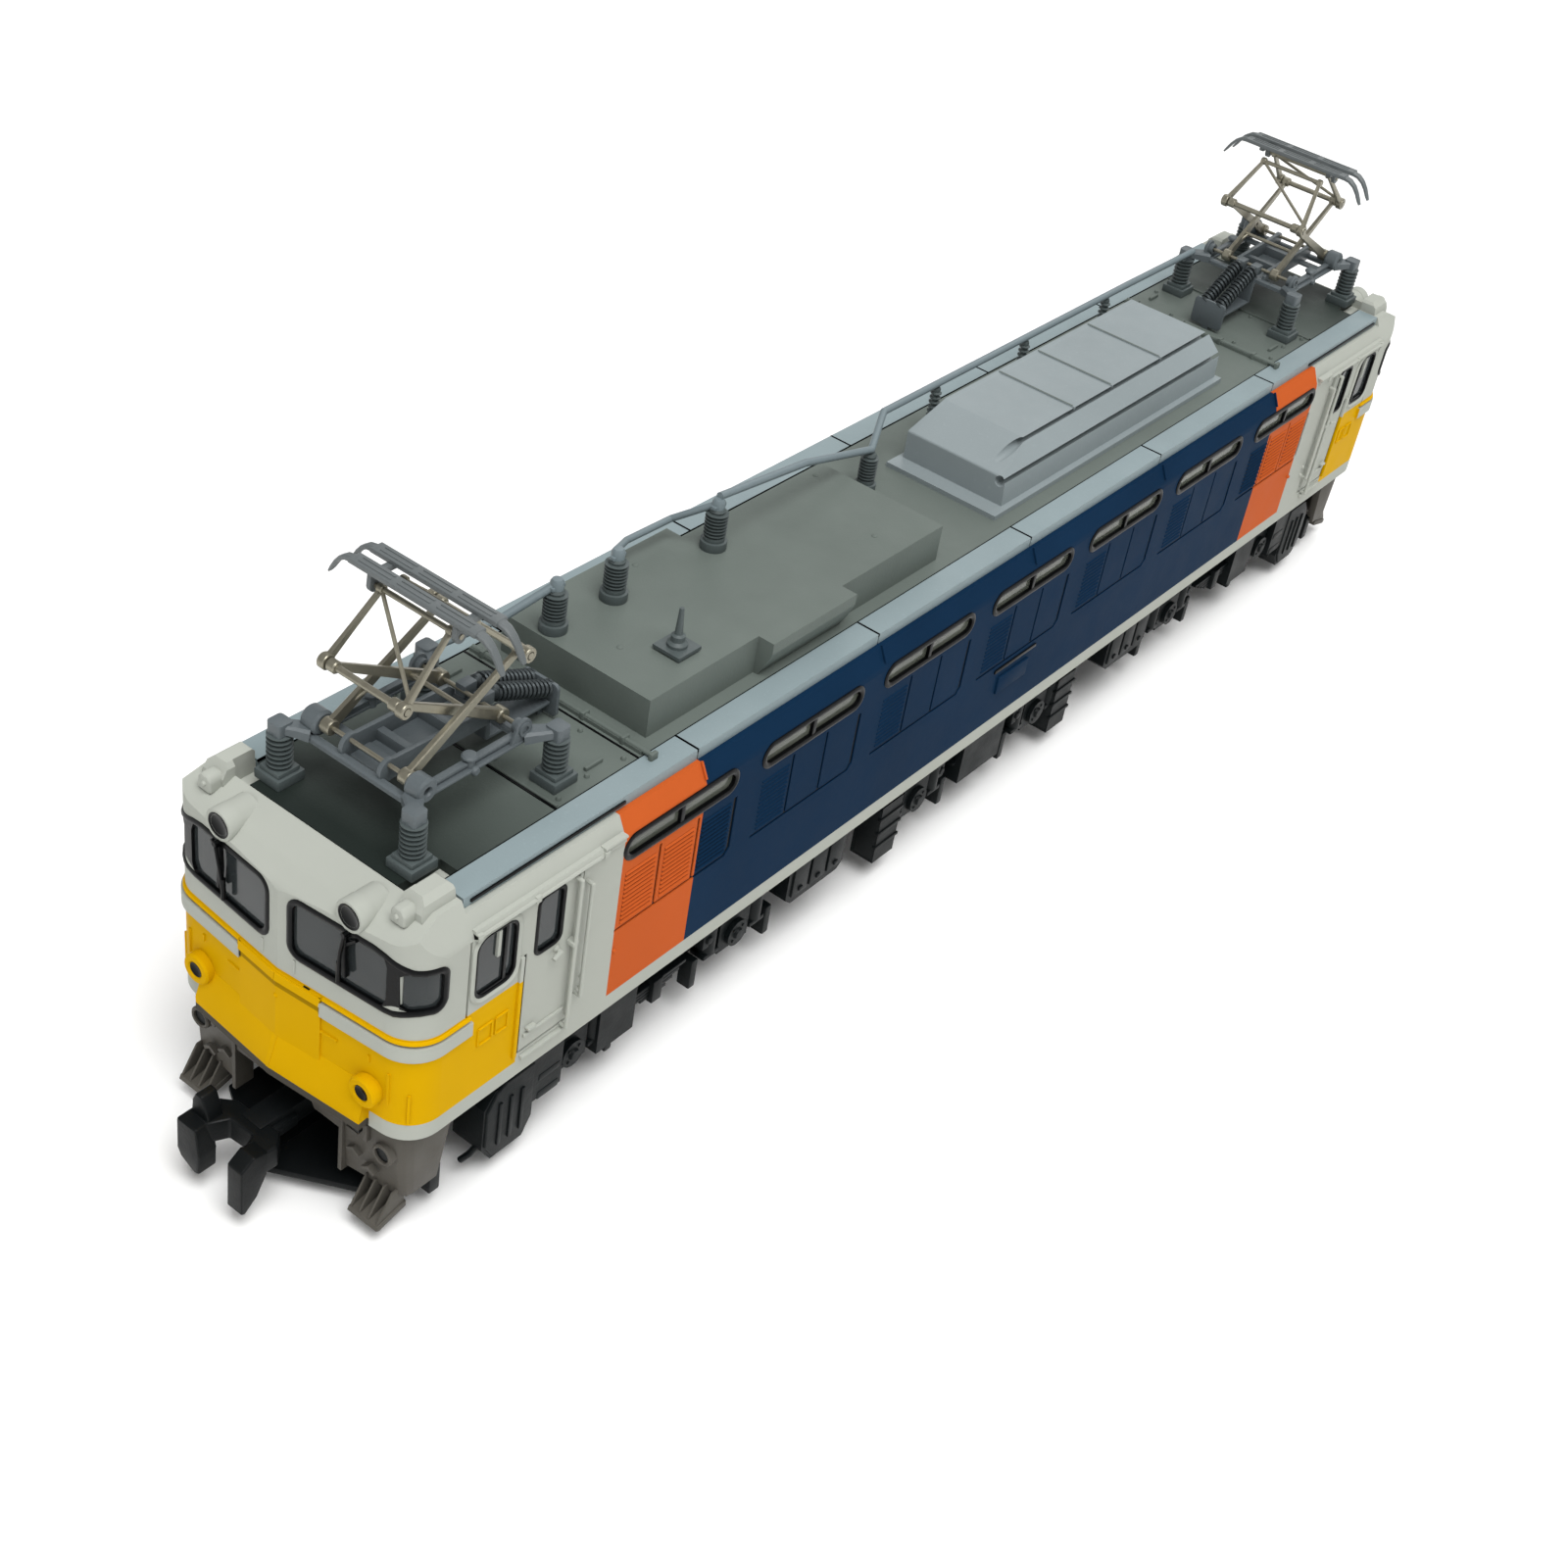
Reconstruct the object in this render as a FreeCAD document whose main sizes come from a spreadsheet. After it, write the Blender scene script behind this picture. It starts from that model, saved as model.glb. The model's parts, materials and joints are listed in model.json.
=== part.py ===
import FreeCAD, Part
import math
import os

import Sketcher

# Model electric locomotive, N scale (1:150), 9 mm gauge, on three two-axle bogies.
# Millimetres. +X is forward, +Y is left, +Z is up. The origin is on the surface that the wheel
# flanges stand on, at the middle of the locomotive.

DRIVING_SIZES = {
    # body shell
    "noseReach": 58.05,        # front face at the centre line, from the middle of the locomotive
    "noseSweep": 0.85,         # how far the front face falls back at the body side
    "noseRadius": 2.2,         # vertical corner between front face and side
    "lipReach": 58.69,         # bottom lip of the front face at the centre line
    "bodyHalfWidth": 9.4,
    "floorHeight": 7.9,        # bottom edge of the shell
    "shoulderHeight": 20.8,    # top of the flat side
    "browHeight": 20.95,       # top of the upright front face
    "roofHeight": 22.77,
    "recessHeight": 22.1,      # seat of the roof panel and side strips
    "wallThickness": 1.0,
    "roofFront": 55.2,         # where the cab brow meets the roof
    "stripInner": 6.75,
    "stripOuter": 8.45,
    "stripReach": 53.5,
    # windows and side panels
    "windowPitch": 12.25,
    "windowLength": 9.7,
    "windowLow": 19.1,
    "windowHigh": 20.6,
    "bayLow": 14.15,
    "bayHigh": 18.6,
    "bayPanel": 3.35,
    # running gear
    "bogieSpacing": 35.33,     # middle bogie to outer bogie
    "wheelbaseHalf": 7.67,
    "axleHeight": 4.63,
    "treadRadius": 3.73,
    "flangeRadius": 4.63,
    "backToBackHalf": 3.7,
    "axleRadius": 0.75,
    "runningGap": 0.05,
    "sideFrameInner": 6.5,
    # drive
    "motorHeight": 14.33,
    "shaftRadius": 0.75,
    "motorRadius": 4.7,
    "flywheelRadius": 4.5,
    "gearModule": 0.4,
    "wormGearTeeth": 26,
    "axleGearTeeth": 15,
    "wormTipRadius": 1.95,
    # pantograph
    "pantographCentre": 48.3,
    "basePivotHalf": 3.7,      # lower arm pivots, from the pantograph's centre
    "basePivotHeight": 26.6,
    "kneeHalf": 4.1,
    "kneeHeight": 30.95,
    "headPivotHalf": 0.7,
    "headPivotHeight": 34.04,
    "stripTop": 35.1,
}

doc = FreeCAD.newDocument("Locomotive")
sheet = doc.addObject("Spreadsheet::Sheet", "Sizes")


def text_of(amount):
    """The expression of a Size, or the plain number as text."""
    return amount.text if isinstance(amount, Size) else "(%r)" % float(amount)


def value_of(amount):
    """The millimetres of a Size or of a plain number."""
    return amount.value if isinstance(amount, Size) else float(amount)


class Size:
    """A number together with its spreadsheet expression, so that sums of sizes stay bound."""

    def __init__(self, text, value):
        self.text = text
        self.value = value

    def __add__(self, other):
        return Size("(%s + %s)" % (self.text, text_of(other)), self.value + value_of(other))

    def __radd__(self, other):
        return self + other

    def __sub__(self, other):
        return Size("(%s - %s)" % (self.text, text_of(other)), self.value - value_of(other))

    def __rsub__(self, other):
        return Size("(%s - %s)" % (text_of(other), self.text), value_of(other) - self.value)

    def __mul__(self, other):
        return Size("(%s * %s)" % (self.text, text_of(other)), self.value * value_of(other))

    def __rmul__(self, other):
        return self * other

    def __truediv__(self, other):
        return Size("(%s / %s)" % (self.text, text_of(other)), self.value / value_of(other))

    def __neg__(self):
        return Size("(-1 * %s)" % self.text, -self.value)


class SizeTable:
    """The driving sizes as attributes, each one bound to its cell's alias."""

    def __init__(self, values):
        for row, (alias, value) in enumerate(values.items(), 1):
            sheet.set("A%d" % row, alias)
            sheet.set("B%d" % row, str(value))
            sheet.setAlias("B%d" % row, alias)
            setattr(self, alias, Size("Sizes." + alias, float(value)))


S = SizeTable(DRIVING_SIZES)
doc.recompute()

# ---------------------------------------------------------------------------------------------
# Helpers: each one adds objects to the document with their sizes bound to the spreadsheet
# ---------------------------------------------------------------------------------------------

TURN = {
    "X": FreeCAD.Rotation(FreeCAD.Vector(0, 1, 0), 90),
    "Y": FreeCAD.Rotation(FreeCAD.Vector(1, 0, 0), -90),
    "Z": FreeCAD.Rotation(),
}
LATHE_TURN = {
    "X": FreeCAD.Rotation(FreeCAD.Vector(0, 0, 1), -90),
    "Y": FreeCAD.Rotation(),
    "Z": FreeCAD.Rotation(FreeCAD.Vector(1, 0, 0), 90),
}


def place(thing, spot, rotation=None):
    """Puts an object at a spot given as sizes."""
    thing.Placement = FreeCAD.Placement(FreeCAD.Vector(), rotation or FreeCAD.Rotation())
    for axis, amount in zip("xyz", spot):
        thing.setExpression("Placement.Base." + axis, text_of(amount))
    return thing


def box(x, y, z):
    """A block between low and high values along each axis."""
    block = doc.addObject("Part::Box", "Block")
    for prop, (low, high) in (("Length", x), ("Width", y), ("Height", z)):
        block.setExpression(prop, "%s - %s" % (text_of(high), text_of(low)))
    return place(block, (x[0], y[0], z[0]))


def cylinder(axis, start, length, radius):
    """A round bar that grows from the centre of its low end along an axis."""
    bar = doc.addObject("Part::Cylinder", "Bar")
    bar.setExpression("Radius", text_of(radius))
    bar.setExpression("Height", text_of(length))
    return place(bar, start, TURN[axis])


def join(shapes):
    """One solid from overlapping or touching ones."""
    if len(shapes) == 1:
        return shapes[0]
    union = doc.addObject("Part::MultiFuse", "Union")
    union.Shapes = shapes
    return union


def cut(base, tools):
    """The base with every tool removed."""
    result = doc.addObject("Part::Cut", "Remainder")
    result.Base = base
    result.Tool = join(tools)
    return result


def overlap(shapes):
    """The space that all the shapes share."""
    common = doc.addObject("Part::MultiCommon", "Overlap")
    common.Shapes = shapes
    return common


def group(shapes):
    """Separate solids of one node."""
    compound = doc.addObject("Part::Compound", "Group")
    compound.Links = shapes
    return compound


def mirrored(source, normal):
    """The mirror image across the middle plane with this normal."""
    image = doc.addObject("Part::Mirroring", "Image")
    image.Source = source
    image.Normal = normal
    return image


def front_to_rear(source):
    return mirrored(source, FreeCAD.Vector(1, 0, 0))


def left_to_right(source):
    return mirrored(source, FreeCAD.Vector(0, 1, 0))


def both_sides(source):
    """A shape and its mirror image on the other side."""
    return [source, left_to_right(source)]


def both_ends(source):
    """A shape and its mirror image at the other end."""
    return [source, front_to_rear(source)]


def plane_of(body, role):
    return [feature for feature in body.Origin.OriginFeatures if feature.Role == role][0]


def add_outline(body, role, corners):
    """A closed, fully constrained sketch. A corner is (a, b) or (a, b, rounding radius)."""
    sketch = body.newObject("Sketcher::SketchObject", "Outline")
    sketch.AttachmentSupport = [(plane_of(body, role), "")]
    sketch.MapMode = "FlatFace"
    count = len(corners)
    points = [FreeCAD.Vector(value_of(c[0]), value_of(c[1]), 0) for c in corners]
    arrive = list(points)
    leave = list(points)
    arc_middle = [None] * count
    for i, corner in enumerate(corners):
        if len(corner) == 3:
            radius = value_of(corner[2])
            back = (points[i - 1] - points[i]).normalize()
            ahead = (points[(i + 1) % count] - points[i]).normalize()
            half = back.getAngle(ahead) / 2
            arrive[i] = points[i] + back * (radius / math.tan(half))
            leave[i] = points[i] + ahead * (radius / math.tan(half))
            inward = (back + ahead).normalize()
            arc_middle[i] = points[i] + inward * (radius / math.sin(half) - radius)
    lines = []
    for i in range(count):
        segment = Part.LineSegment(leave[i], arrive[(i + 1) % count])
        lines.append(sketch.addGeometry(segment, False))

    def dimension(kind, geometry, value, amount):
        index = sketch.addConstraint(Sketcher.Constraint(kind, -1, 1, geometry, 1, value))
        sketch.setExpression("Constraints[%d]" % index, text_of(amount))

    for i, corner in enumerate(corners):
        before = lines[i - 1]
        after = lines[i]
        pinned = after
        if len(corner) == 3:
            arc = sketch.addGeometry(Part.Arc(arrive[i], arc_middle[i], leave[i]), False)
            forward = (sketch.Geometry[arc].StartPoint - arrive[i]).Length < 1e-6
            first, last = (1, 2) if forward else (2, 1)
            pinned = sketch.addGeometry(Part.Point(points[i]), True)
            sketch.addConstraint(Sketcher.Constraint("Tangent", before, 2, arc, first))
            sketch.addConstraint(Sketcher.Constraint("Tangent", arc, last, after, 1))
            sketch.addConstraint(Sketcher.Constraint("PointOnObject", pinned, 1, before))
            sketch.addConstraint(Sketcher.Constraint("PointOnObject", pinned, 1, after))
            radius = Sketcher.Constraint("Radius", arc, value_of(corner[2]))
            index = sketch.addConstraint(radius)
            sketch.setExpression("Constraints[%d]" % index, text_of(corner[2]))
        else:
            sketch.addConstraint(Sketcher.Constraint("Coincident", before, 2, after, 1))
        dimension("DistanceX", pinned, points[i].x, corner[0])
        dimension("DistanceY", pinned, points[i].y, corner[1])
    return sketch


def prism(role, corners, low, high):
    """An outline in an origin plane, padded from low to high along that plane's axis."""
    body = doc.addObject("PartDesign::Body", "Prism")
    sketch = add_outline(body, role, corners)
    start = -high if role == "XZ_Plane" else low
    sketch.setExpression("AttachmentOffset.Base.z", text_of(start))
    pad = body.newObject("PartDesign::Pad", "Pad")
    pad.Profile = sketch
    pad.setExpression("Length", "%s - %s" % (text_of(high), text_of(low)))
    return body


def turned(axis, spot, corners):
    """A lathe-turned piece: corners are (radius, distance along the axis)."""
    body = doc.addObject("PartDesign::Body", "Turned")
    sketch = add_outline(body, "XY_Plane", corners)
    revolution = body.newObject("PartDesign::Revolution", "Revolution")
    revolution.Profile = sketch
    revolution.ReferenceAxis = (sketch, ["V_Axis"])
    revolution.Angle = 360
    return place(body, spot, LATHE_TURN[axis])


def vector(point):
    return FreeCAD.Vector(*[value_of(amount) for amount in point])


def rod(points, radius):
    """A bent round wire: straight runs with ball joints. Its route has no simpler feature."""
    thick = value_of(radius)
    route = [vector(point) for point in points]
    pieces = []
    for start, end in zip(route, route[1:]):
        pieces.append(Part.makeCylinder(thick, (end - start).Length, start, end - start))
    for knee in route[1:-1]:
        pieces.append(Part.makeSphere(thick, knee))
    wire = doc.addObject("Part::Feature", "Rod")
    wire.Shape = pieces[0].fuse(pieces[1:]) if len(pieces) > 1 else pieces[0]
    return wire


NODES = []


def node(label, thing):
    """Registers a finished sub-part under the name of its file."""
    thing.Label = label
    NODES.append(thing)
    return thing


# ---------------------------------------------------------------------------------------------
# Body shell
# ---------------------------------------------------------------------------------------------

def hull_form(inset, low):
    """The outer form of the body, moved inwards by an inset: plan, section and elevation."""
    half = S.bodyHalfWidth - inset
    nose = S.noseReach - inset
    flank = nose - S.noseSweep
    top = S.roofHeight - inset
    radius = S.noseRadius - inset * 0.7
    plan = prism("XY_Plane", [
        (nose, 0), (flank, half, radius), (-flank, half, radius),
        (-nose, 0), (-flank, -half, radius), (flank, -half, radius),
    ], low, top + 1)
    shoulder_in = S.stripOuter - inset
    section = prism("YZ_Plane", [
        (-half, low), (half, low), (half, S.shoulderHeight, 1.2),
        (shoulder_in, top), (-shoulder_in, top), (-half, S.shoulderHeight, 1.2),
    ], -nose - 1, nose + 1)
    brow = S.browHeight - inset * 0.44
    brow_in = S.noseReach - 1.15 - inset * 0.56
    brow_top = S.browHeight + 1.05 - inset * 0.845
    roof_in = S.roofFront - inset * 0.22
    low_round = 0.8 - inset * 0.25
    high_round = 1.5 - inset * 0.5
    elevation = prism("XZ_Plane", [
        (-nose, low), (nose, low), (nose, brow, low_round), (brow_in, brow_top, high_round),
        (roof_in, top), (-roof_in, top), (-brow_in, brow_top, high_round), (-nose, brow, low_round),
    ], -half - 1, half + 1)
    return overlap([plan, section, elevation])


def rounded_rectangle(role, a, b, radius, low, high):
    """A block with rounded corners, seen along the axis of its plane."""
    corners = [(a[0], b[0], radius), (a[1], b[0], radius), (a[1], b[1], radius), (a[0], b[1], radius)]
    return prism(role, corners, low, high)


WINDSCREEN = dict(y=(0.9, 7.35), z=(16.95, 20.7), radius=0.7)
CORNER_PANE = dict(x=(55.35, 60.0), y=(8.05, 10.0), z=(17.35, 19.95))
CAB_WINDOW = dict(x=(50.1, 53.1), z=(16.15, 20.3), radius=0.75)
DOOR_WINDOW = dict(x=(46.5, 48.5), z=(16.45, 20.45), radius=0.45)


def cab_openings(shrink):
    """The glazed openings of the front cab, each side made smaller by a clearance."""
    half = S.bodyHalfWidth
    screen = rounded_rectangle(
        "YZ_Plane",
        (WINDSCREEN["y"][0] + shrink, WINDSCREEN["y"][1] - shrink),
        (WINDSCREEN["z"][0] + shrink, WINDSCREEN["z"][1] - shrink),
        WINDSCREEN["radius"], 55.5, 60)
    pane = box((CORNER_PANE["x"][0] + shrink, CORNER_PANE["x"][1]),
               (CORNER_PANE["y"][0] + shrink, CORNER_PANE["y"][1]),
               (CORNER_PANE["z"][0] + shrink, CORNER_PANE["z"][1] - shrink))
    openings = both_sides(screen) + both_sides(pane)
    for window in (CAB_WINDOW, DOOR_WINDOW):
        openings.append(rounded_rectangle(
            "XZ_Plane",
            (window["x"][0] + shrink, window["x"][1] - shrink),
            (window["z"][0] + shrink, window["z"][1] - shrink),
            window["radius"], -half - 1, half + 1))
    return openings


def side_openings(shrink):
    """Seven narrow windows on each side, with round ends."""
    half = S.bodyHalfWidth
    openings = []
    for place_number in range(-3, 4):
        centre = S.windowPitch * place_number
        reach = S.windowLength / 2 - shrink
        radius = (S.windowHigh - S.windowLow) / 2 - shrink - 0.01
        openings.append(rounded_rectangle(
            "XZ_Plane", (centre - reach, centre + reach),
            (S.windowLow + shrink, S.windowHigh - shrink), radius, -half - 1, half + 1))
    return openings


BAY_DEPTH = 0.3


def panel_bays():
    """Three removable panels under each side window: grooves below, behind and between them."""
    grooves = []
    inner = S.bodyHalfWidth - BAY_DEPTH
    outer = S.bodyHalfWidth + 1
    for place_number in range(-3, 4):
        centre = S.windowPitch * place_number
        reach = S.bayPanel * 1.5
        edge = prism("XZ_Plane", [
            (centre + reach, S.bayLow - 0.2), (centre - reach + 0.2, S.bayLow - 0.2),
            (centre - reach - 0.2, S.bayLow + 0.25), (centre - reach - 0.2, S.bayHigh - 0.3),
            (centre - reach + 0.12, S.bayHigh - 0.3), (centre - reach + 0.12, S.bayLow + 0.4),
            (centre - reach + 0.4, S.bayLow), (centre + reach, S.bayLow),
        ], inner, outer)
        grooves += both_sides(edge)
        for side in (1, -1):
            x = centre + S.bayPanel / 2 * side
            divider = box((x - 0.1, x + 0.1), (inner + 0.1, outer), (S.bayLow - 0.05, S.bayHigh))
            grooves += both_sides(divider)
    return grooves


def door_grooves():
    """Shut lines of the cab doors and the seam behind the windscreen pillar."""
    depth = 0.18
    lines = [
        ((49.15, 49.4), (9.6, 17.05)),
        ((45.0, 45.2), (9.6, 20.5)),
        ((45.1, 49.3), (9.55, 9.75)),
        ((53.5, 53.65), (15.1, 20.6)),
    ]
    grooves = []
    for x, z in lines:
        groove = box(x, (S.bodyHalfWidth - depth, S.bodyHalfWidth + 1), z)
        grooves += both_sides(groove)
    return grooves


LAMP_HEIGHT = 21.86
HEADLIGHT_SIDE = 4.83
TAIL_LAMP = (6.47, 10.76)
GUIDE_RADIUS = 0.55
WIPER_HEIGHT = 20.8
WIPER_SPINDLE = 0.15


def relief(height, region):
    """A raised moulding that follows the hull form inside a region."""
    skin = cut(hull_form(-height, S.floorHeight), [hull_form(0.25, S.floorHeight - 1)])
    return overlap([skin, region])


def cab_trim():
    """Raised mouldings of the front cab: band, centre panel, gutter, lip, lamp tubes, roof blocks."""
    band_region = join(both_sides(box((53.2, 60), (3.1, 10), (13.9, 14.85))))
    panel_region = box((55, 60), (-3.1, 3.1), (9.05, 15.2))
    gutter_region = join(both_sides(box((41.9, 53.4), (8.2, 10), (20.85, 21.25))))
    lip_flank = S.lipReach - 0.54
    lip = prism("XY_Plane", [
        (S.lipReach, 0), (lip_flank, 6.4), (57.2, 6.4), (57.2, -6.4), (lip_flank, -6.4),
    ], S.floorHeight, S.floorHeight + 0.9)
    tube = cylinder("X", (55.6, HEADLIGHT_SIDE, LAMP_HEIGHT), 2.1, 0.95)
    ring = cylinder("X", (57.0, TAIL_LAMP[0], TAIL_LAMP[1]), 1.03, 0.95)
    block_side = prism("XZ_Plane", [
        (53.55, S.recessHeight), (55.95, S.recessHeight - 0.6), (55.95, 22.9), (55.5, 23.7),
        (53.75, 23.7), (53.55, 23.5),
    ], 6.4, 8.4)
    block_end = prism("YZ_Plane", [
        (6.5, S.recessHeight - 0.6), (6.5, 23.4), (6.75, 23.75), (7.55, 23.75), (8.0, 23.35),
        (8.3, S.recessHeight - 0.6),
    ], 53, 56.5)
    block = overlap([block_side, block_end])
    return ([relief(0.2, band_region), relief(0.12, panel_region), relief(0.25, gutter_region), lip]
            + both_sides(tube) + both_sides(ring) + both_sides(block))


def cab_cuts():
    """Openings of the front cab: panes, lamp bores, light-guide pocket."""
    bore = cylinder("X", (55.5, HEADLIGHT_SIDE, LAMP_HEIGHT), 4, GUIDE_RADIUS + S.runningGap)
    tail_bore = cylinder("X", (56, TAIL_LAMP[0], TAIL_LAMP[1]), 4, GUIDE_RADIUS + S.runningGap)
    wiper_bore = cylinder("X", (56.9, 4.8, WIPER_HEIGHT), 3, WIPER_SPINDLE + S.runningGap)
    pocket = box((55.3, 56.5), (-5.75, 5.75), (20.5, 21.6))
    bores = both_sides(bore) + both_sides(tail_bore) + both_sides(wiper_bore)
    return cab_openings(0) + bores + [pocket]


def body_shell():
    outer = hull_form(0, S.floorHeight)
    trim = cab_trim()
    mouldings = []
    for piece in trim:
        mouldings += both_ends(piece)
    solid = join([outer] + mouldings)
    cavity = overlap([
        hull_form(S.wallThickness, S.floorHeight - 2),
        box((-60, 60), (-10, 10), (S.floorHeight - 3, S.recessHeight - 0.9)),
    ])
    strip_seat = box((-S.stripReach, S.stripReach), (S.stripInner, S.stripOuter + 1),
                     (S.recessHeight, S.roofHeight + 3))
    panel_seat = box((-S.roofFront + 0.1, S.roofFront - 0.1), (-S.stripInner, S.stripInner),
                     (S.recessHeight, S.roofHeight + 3))
    front_cuts = cab_cuts() + door_grooves()
    cuts = [cavity, panel_seat] + both_sides(strip_seat) + side_openings(0) + panel_bays()
    for piece in front_cuts:
        cuts += both_ends(piece)
    return cut(solid, cuts)


node("body_shell", body_shell())

# ---------------------------------------------------------------------------------------------
# Roof
# ---------------------------------------------------------------------------------------------


def roof_panel():
    """Flat panel with the stepped equipment housing ahead of the middle."""
    reach = S.roofFront - 0.15
    plate = box((-reach, reach), (-S.stripInner + 0.05, S.stripInner - 0.05),
                (S.recessHeight, S.roofHeight))
    corner_notch = box((52.0, 56), (5.45, 7), (S.recessHeight - 1, S.roofHeight + 1))
    notches = []
    for notch in both_sides(corner_notch):
        notches += both_ends(notch)
    groove = box((44.5, 44.7), (-7, 7), (S.roofHeight - 0.2, S.roofHeight + 1))
    housing = prism("XY_Plane", [
        (7.4, -4.1), (21.7, -4.1), (21.7, -5.4), (36.2, -5.4), (36.2, 5.75), (7.4, 5.75),
    ], S.roofHeight - 0.2, 25.35)
    ledge = prism("YZ_Plane", [
        (5.5, S.roofHeight - 0.1), (6.0, S.roofHeight - 0.1), (6.5, 23.6), (6.9, 24.6), (6.9, 25.35),
        (5.5, 25.35),
    ], 18.3, 26.5)
    cross_rib = box((37.2, 37.6), (-6.6, 6.6), (S.roofHeight - 0.1, S.roofHeight + 0.25))
    panel = cut(plate, notches + both_ends(groove))
    return join([panel, housing, ledge] + both_ends(cross_rib))


node("roof_panel", roof_panel())


def roof_side_strips():
    """The walkway strip along each edge of the roof, in six lengths per side."""
    strips = []
    seams = [-34.8, -17.4, 0, 17.4, 34.8]
    edges = [-S.stripReach + 0.05] + seams + [S.stripReach - 0.05]
    for start, end in zip(edges, edges[1:]):
        strip = box((start + 0.06, end - 0.06), (S.stripInner + 0.02, S.stripOuter),
                    (S.recessHeight, S.roofHeight + 0.05))
        strips += both_sides(strip)
    return group(strips)


node("roof_side_strips", roof_side_strips())


def ventilator_cover():
    """Light hood behind the middle: chamfered on the left, sloping up from its front wall."""
    flange = box((-31.5, 0.2), (-3.5, 5.55), (S.roofHeight, S.roofHeight + 0.35))
    section = prism("YZ_Plane", [
        (-3.15, S.roofHeight), (-3.15, 26.25, 0.4), (3.6, 26.25, 0.4), (4.95, 25.0, 0.4),
        (5.1, S.roofHeight),
    ], -33, 1)
    elevation = prism("XZ_Plane", [
        (-1.25, S.roofHeight), (-1.25, 25.2, 0.15), (-5.5, 26.3, 0.6), (-31.2, 26.3, 0.3),
        (-31.2, S.roofHeight),
    ], -6, 6)
    hood = overlap([section, elevation])
    beads = [box((x - 0.08, x + 0.08), (-3.0, 3.5), (26.1, 26.33)) for x in (-17.2, -12.0, -24.2)]
    return join([flange, hood] + beads)


node("ventilator_cover", ventilator_cover())


def insulator(x, y, foot, top, radius):
    """A ribbed post insulator turned about Z: sheds on a slimmer core, with a cap."""
    core = radius * 0.72
    ribs = 6
    pitch = (top - foot - 0.5) / ribs
    corners = [(0, 0), (radius * 0.95, 0), (radius * 0.95, 0.2), (core, 0.25)]
    for rib in range(ribs):
        level = 0.25 + pitch * rib
        corners += [(core, level + pitch * 0.3), (radius, level + pitch * 0.55),
                    (radius, level + pitch * 0.7), (core, level + pitch * 0.85)]
    corners += [(core, top - foot - 0.2), (core * 0.6, top - foot), (0, top - foot)]
    return turned("Z", (x, y, foot), corners)


HOUSING_TOP = 25.35
CONDUIT_HEIGHT = 26.75
COVER_SIDE = -4.3
STAND_SPOTS = (-6.0, -17.5, -29.0)


def roof_insulators():
    """Three tall insulators on the housing, one behind it, and the short stands of the conduit."""
    tall = [insulator(x, y, HOUSING_TOP, 28.2, 0.85)
            for x, y in ((35.2, -2.5), (30.1, -2.4), (21.1, -2.2))]
    low_stand = insulator(4.0, -2.6, S.roofHeight.value, 25.6, 0.75)
    stands = [insulator(x, COVER_SIDE, S.roofHeight.value, CONDUIT_HEIGHT - 0.3, 0.45)
              for x in STAND_SPOTS]
    return group(tall + [low_stand] + stands)


node("roof_insulators", roof_insulators())


def roof_conduit():
    """High-voltage line from the front pantograph over the insulators to the rear one."""
    level = CONDUIT_HEIGHT
    cap = 28.45
    front_run = rod([(42.3, -4.2, level), (38.0, -3.8, level), (35.2, -2.5, cap)], 0.25)
    step_run = rod([(30.1, -2.4, cap), (28.5, -3.8, level + 0.6), (26.5, -4.7, level),
                    (22.5, -4.6, level), (21.1, -2.2, cap)], 0.22)
    rear_run = rod([(21.1, -2.2, cap + 0.5), (12.0, -2.4, cap - 0.6), (4.0, -2.6, 25.85),
                    (0.5, COVER_SIDE, level), (-31.8, COVER_SIDE, level), (-42.3, -4.2, level)],
                   0.25)
    return group([front_run, step_run, rear_run])


node("roof_conduit", roof_conduit())


def radio_antenna():
    """Square foot on four stubs, round collar and tapered whip."""
    x, y = 31.3, 3.5
    plate = box((x - 1, x + 1), (y - 1, y + 1), (HOUSING_TOP + 0.12, HOUSING_TOP + 0.35))
    stubs = [cylinder("Z", (x + dx, y + dy, HOUSING_TOP), 0.15, 0.22)
             for dx in (-0.75, 0.75) for dy in (-0.75, 0.75)]
    whip = turned("Z", (x, y, HOUSING_TOP + 0.3), [
        (0, 0), (0.62, 0), (0.62, 0.25), (0.42, 0.4), (0.42, 0.75), (0.25, 0.85), (0.14, 2.6),
        (0, 2.6),
    ])
    return join([plate, whip] + stubs)


node("radio_antenna", radio_antenna())

# ---------------------------------------------------------------------------------------------
# Glazing, lights, handrails, wipers
# ---------------------------------------------------------------------------------------------


def cab_glazing():
    """Clear moulding: a band behind the cab walls with raised panes that fill the openings."""
    gap = 0.05
    band = overlap([
        cut(hull_form(S.wallThickness + gap, 16.0), [hull_form(S.wallThickness + 0.65, 15.5)]),
        box((46.0, 60), (-10, 10), (16.1, 20.75)),
    ])
    panes = overlap([
        join(cab_openings(gap)),
        cut(hull_form(0.15, 16.0), [hull_form(S.wallThickness + 0.5, 15.5)]),
    ])
    return join([band, panes])


front_glazing = node("cab_glazing_front", cab_glazing())
node("cab_glazing_rear", front_to_rear(front_glazing))


def side_glazing():
    """One long clear strip behind each side, with seven raised panes."""
    gap = 0.04
    inner = S.bodyHalfWidth - S.wallThickness
    strip = box((-42, 42), (inner - 0.65, inner - gap), (18.7, 20.55))
    region = box((-42, 42), (inner - 0.3, S.bodyHalfWidth - 0.2), (18.7, 21.0))
    panes = overlap([join(side_openings(gap)), region])
    left = join([strip, panes])
    return group(both_sides(left))


node("side_glazing", side_glazing())


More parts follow.
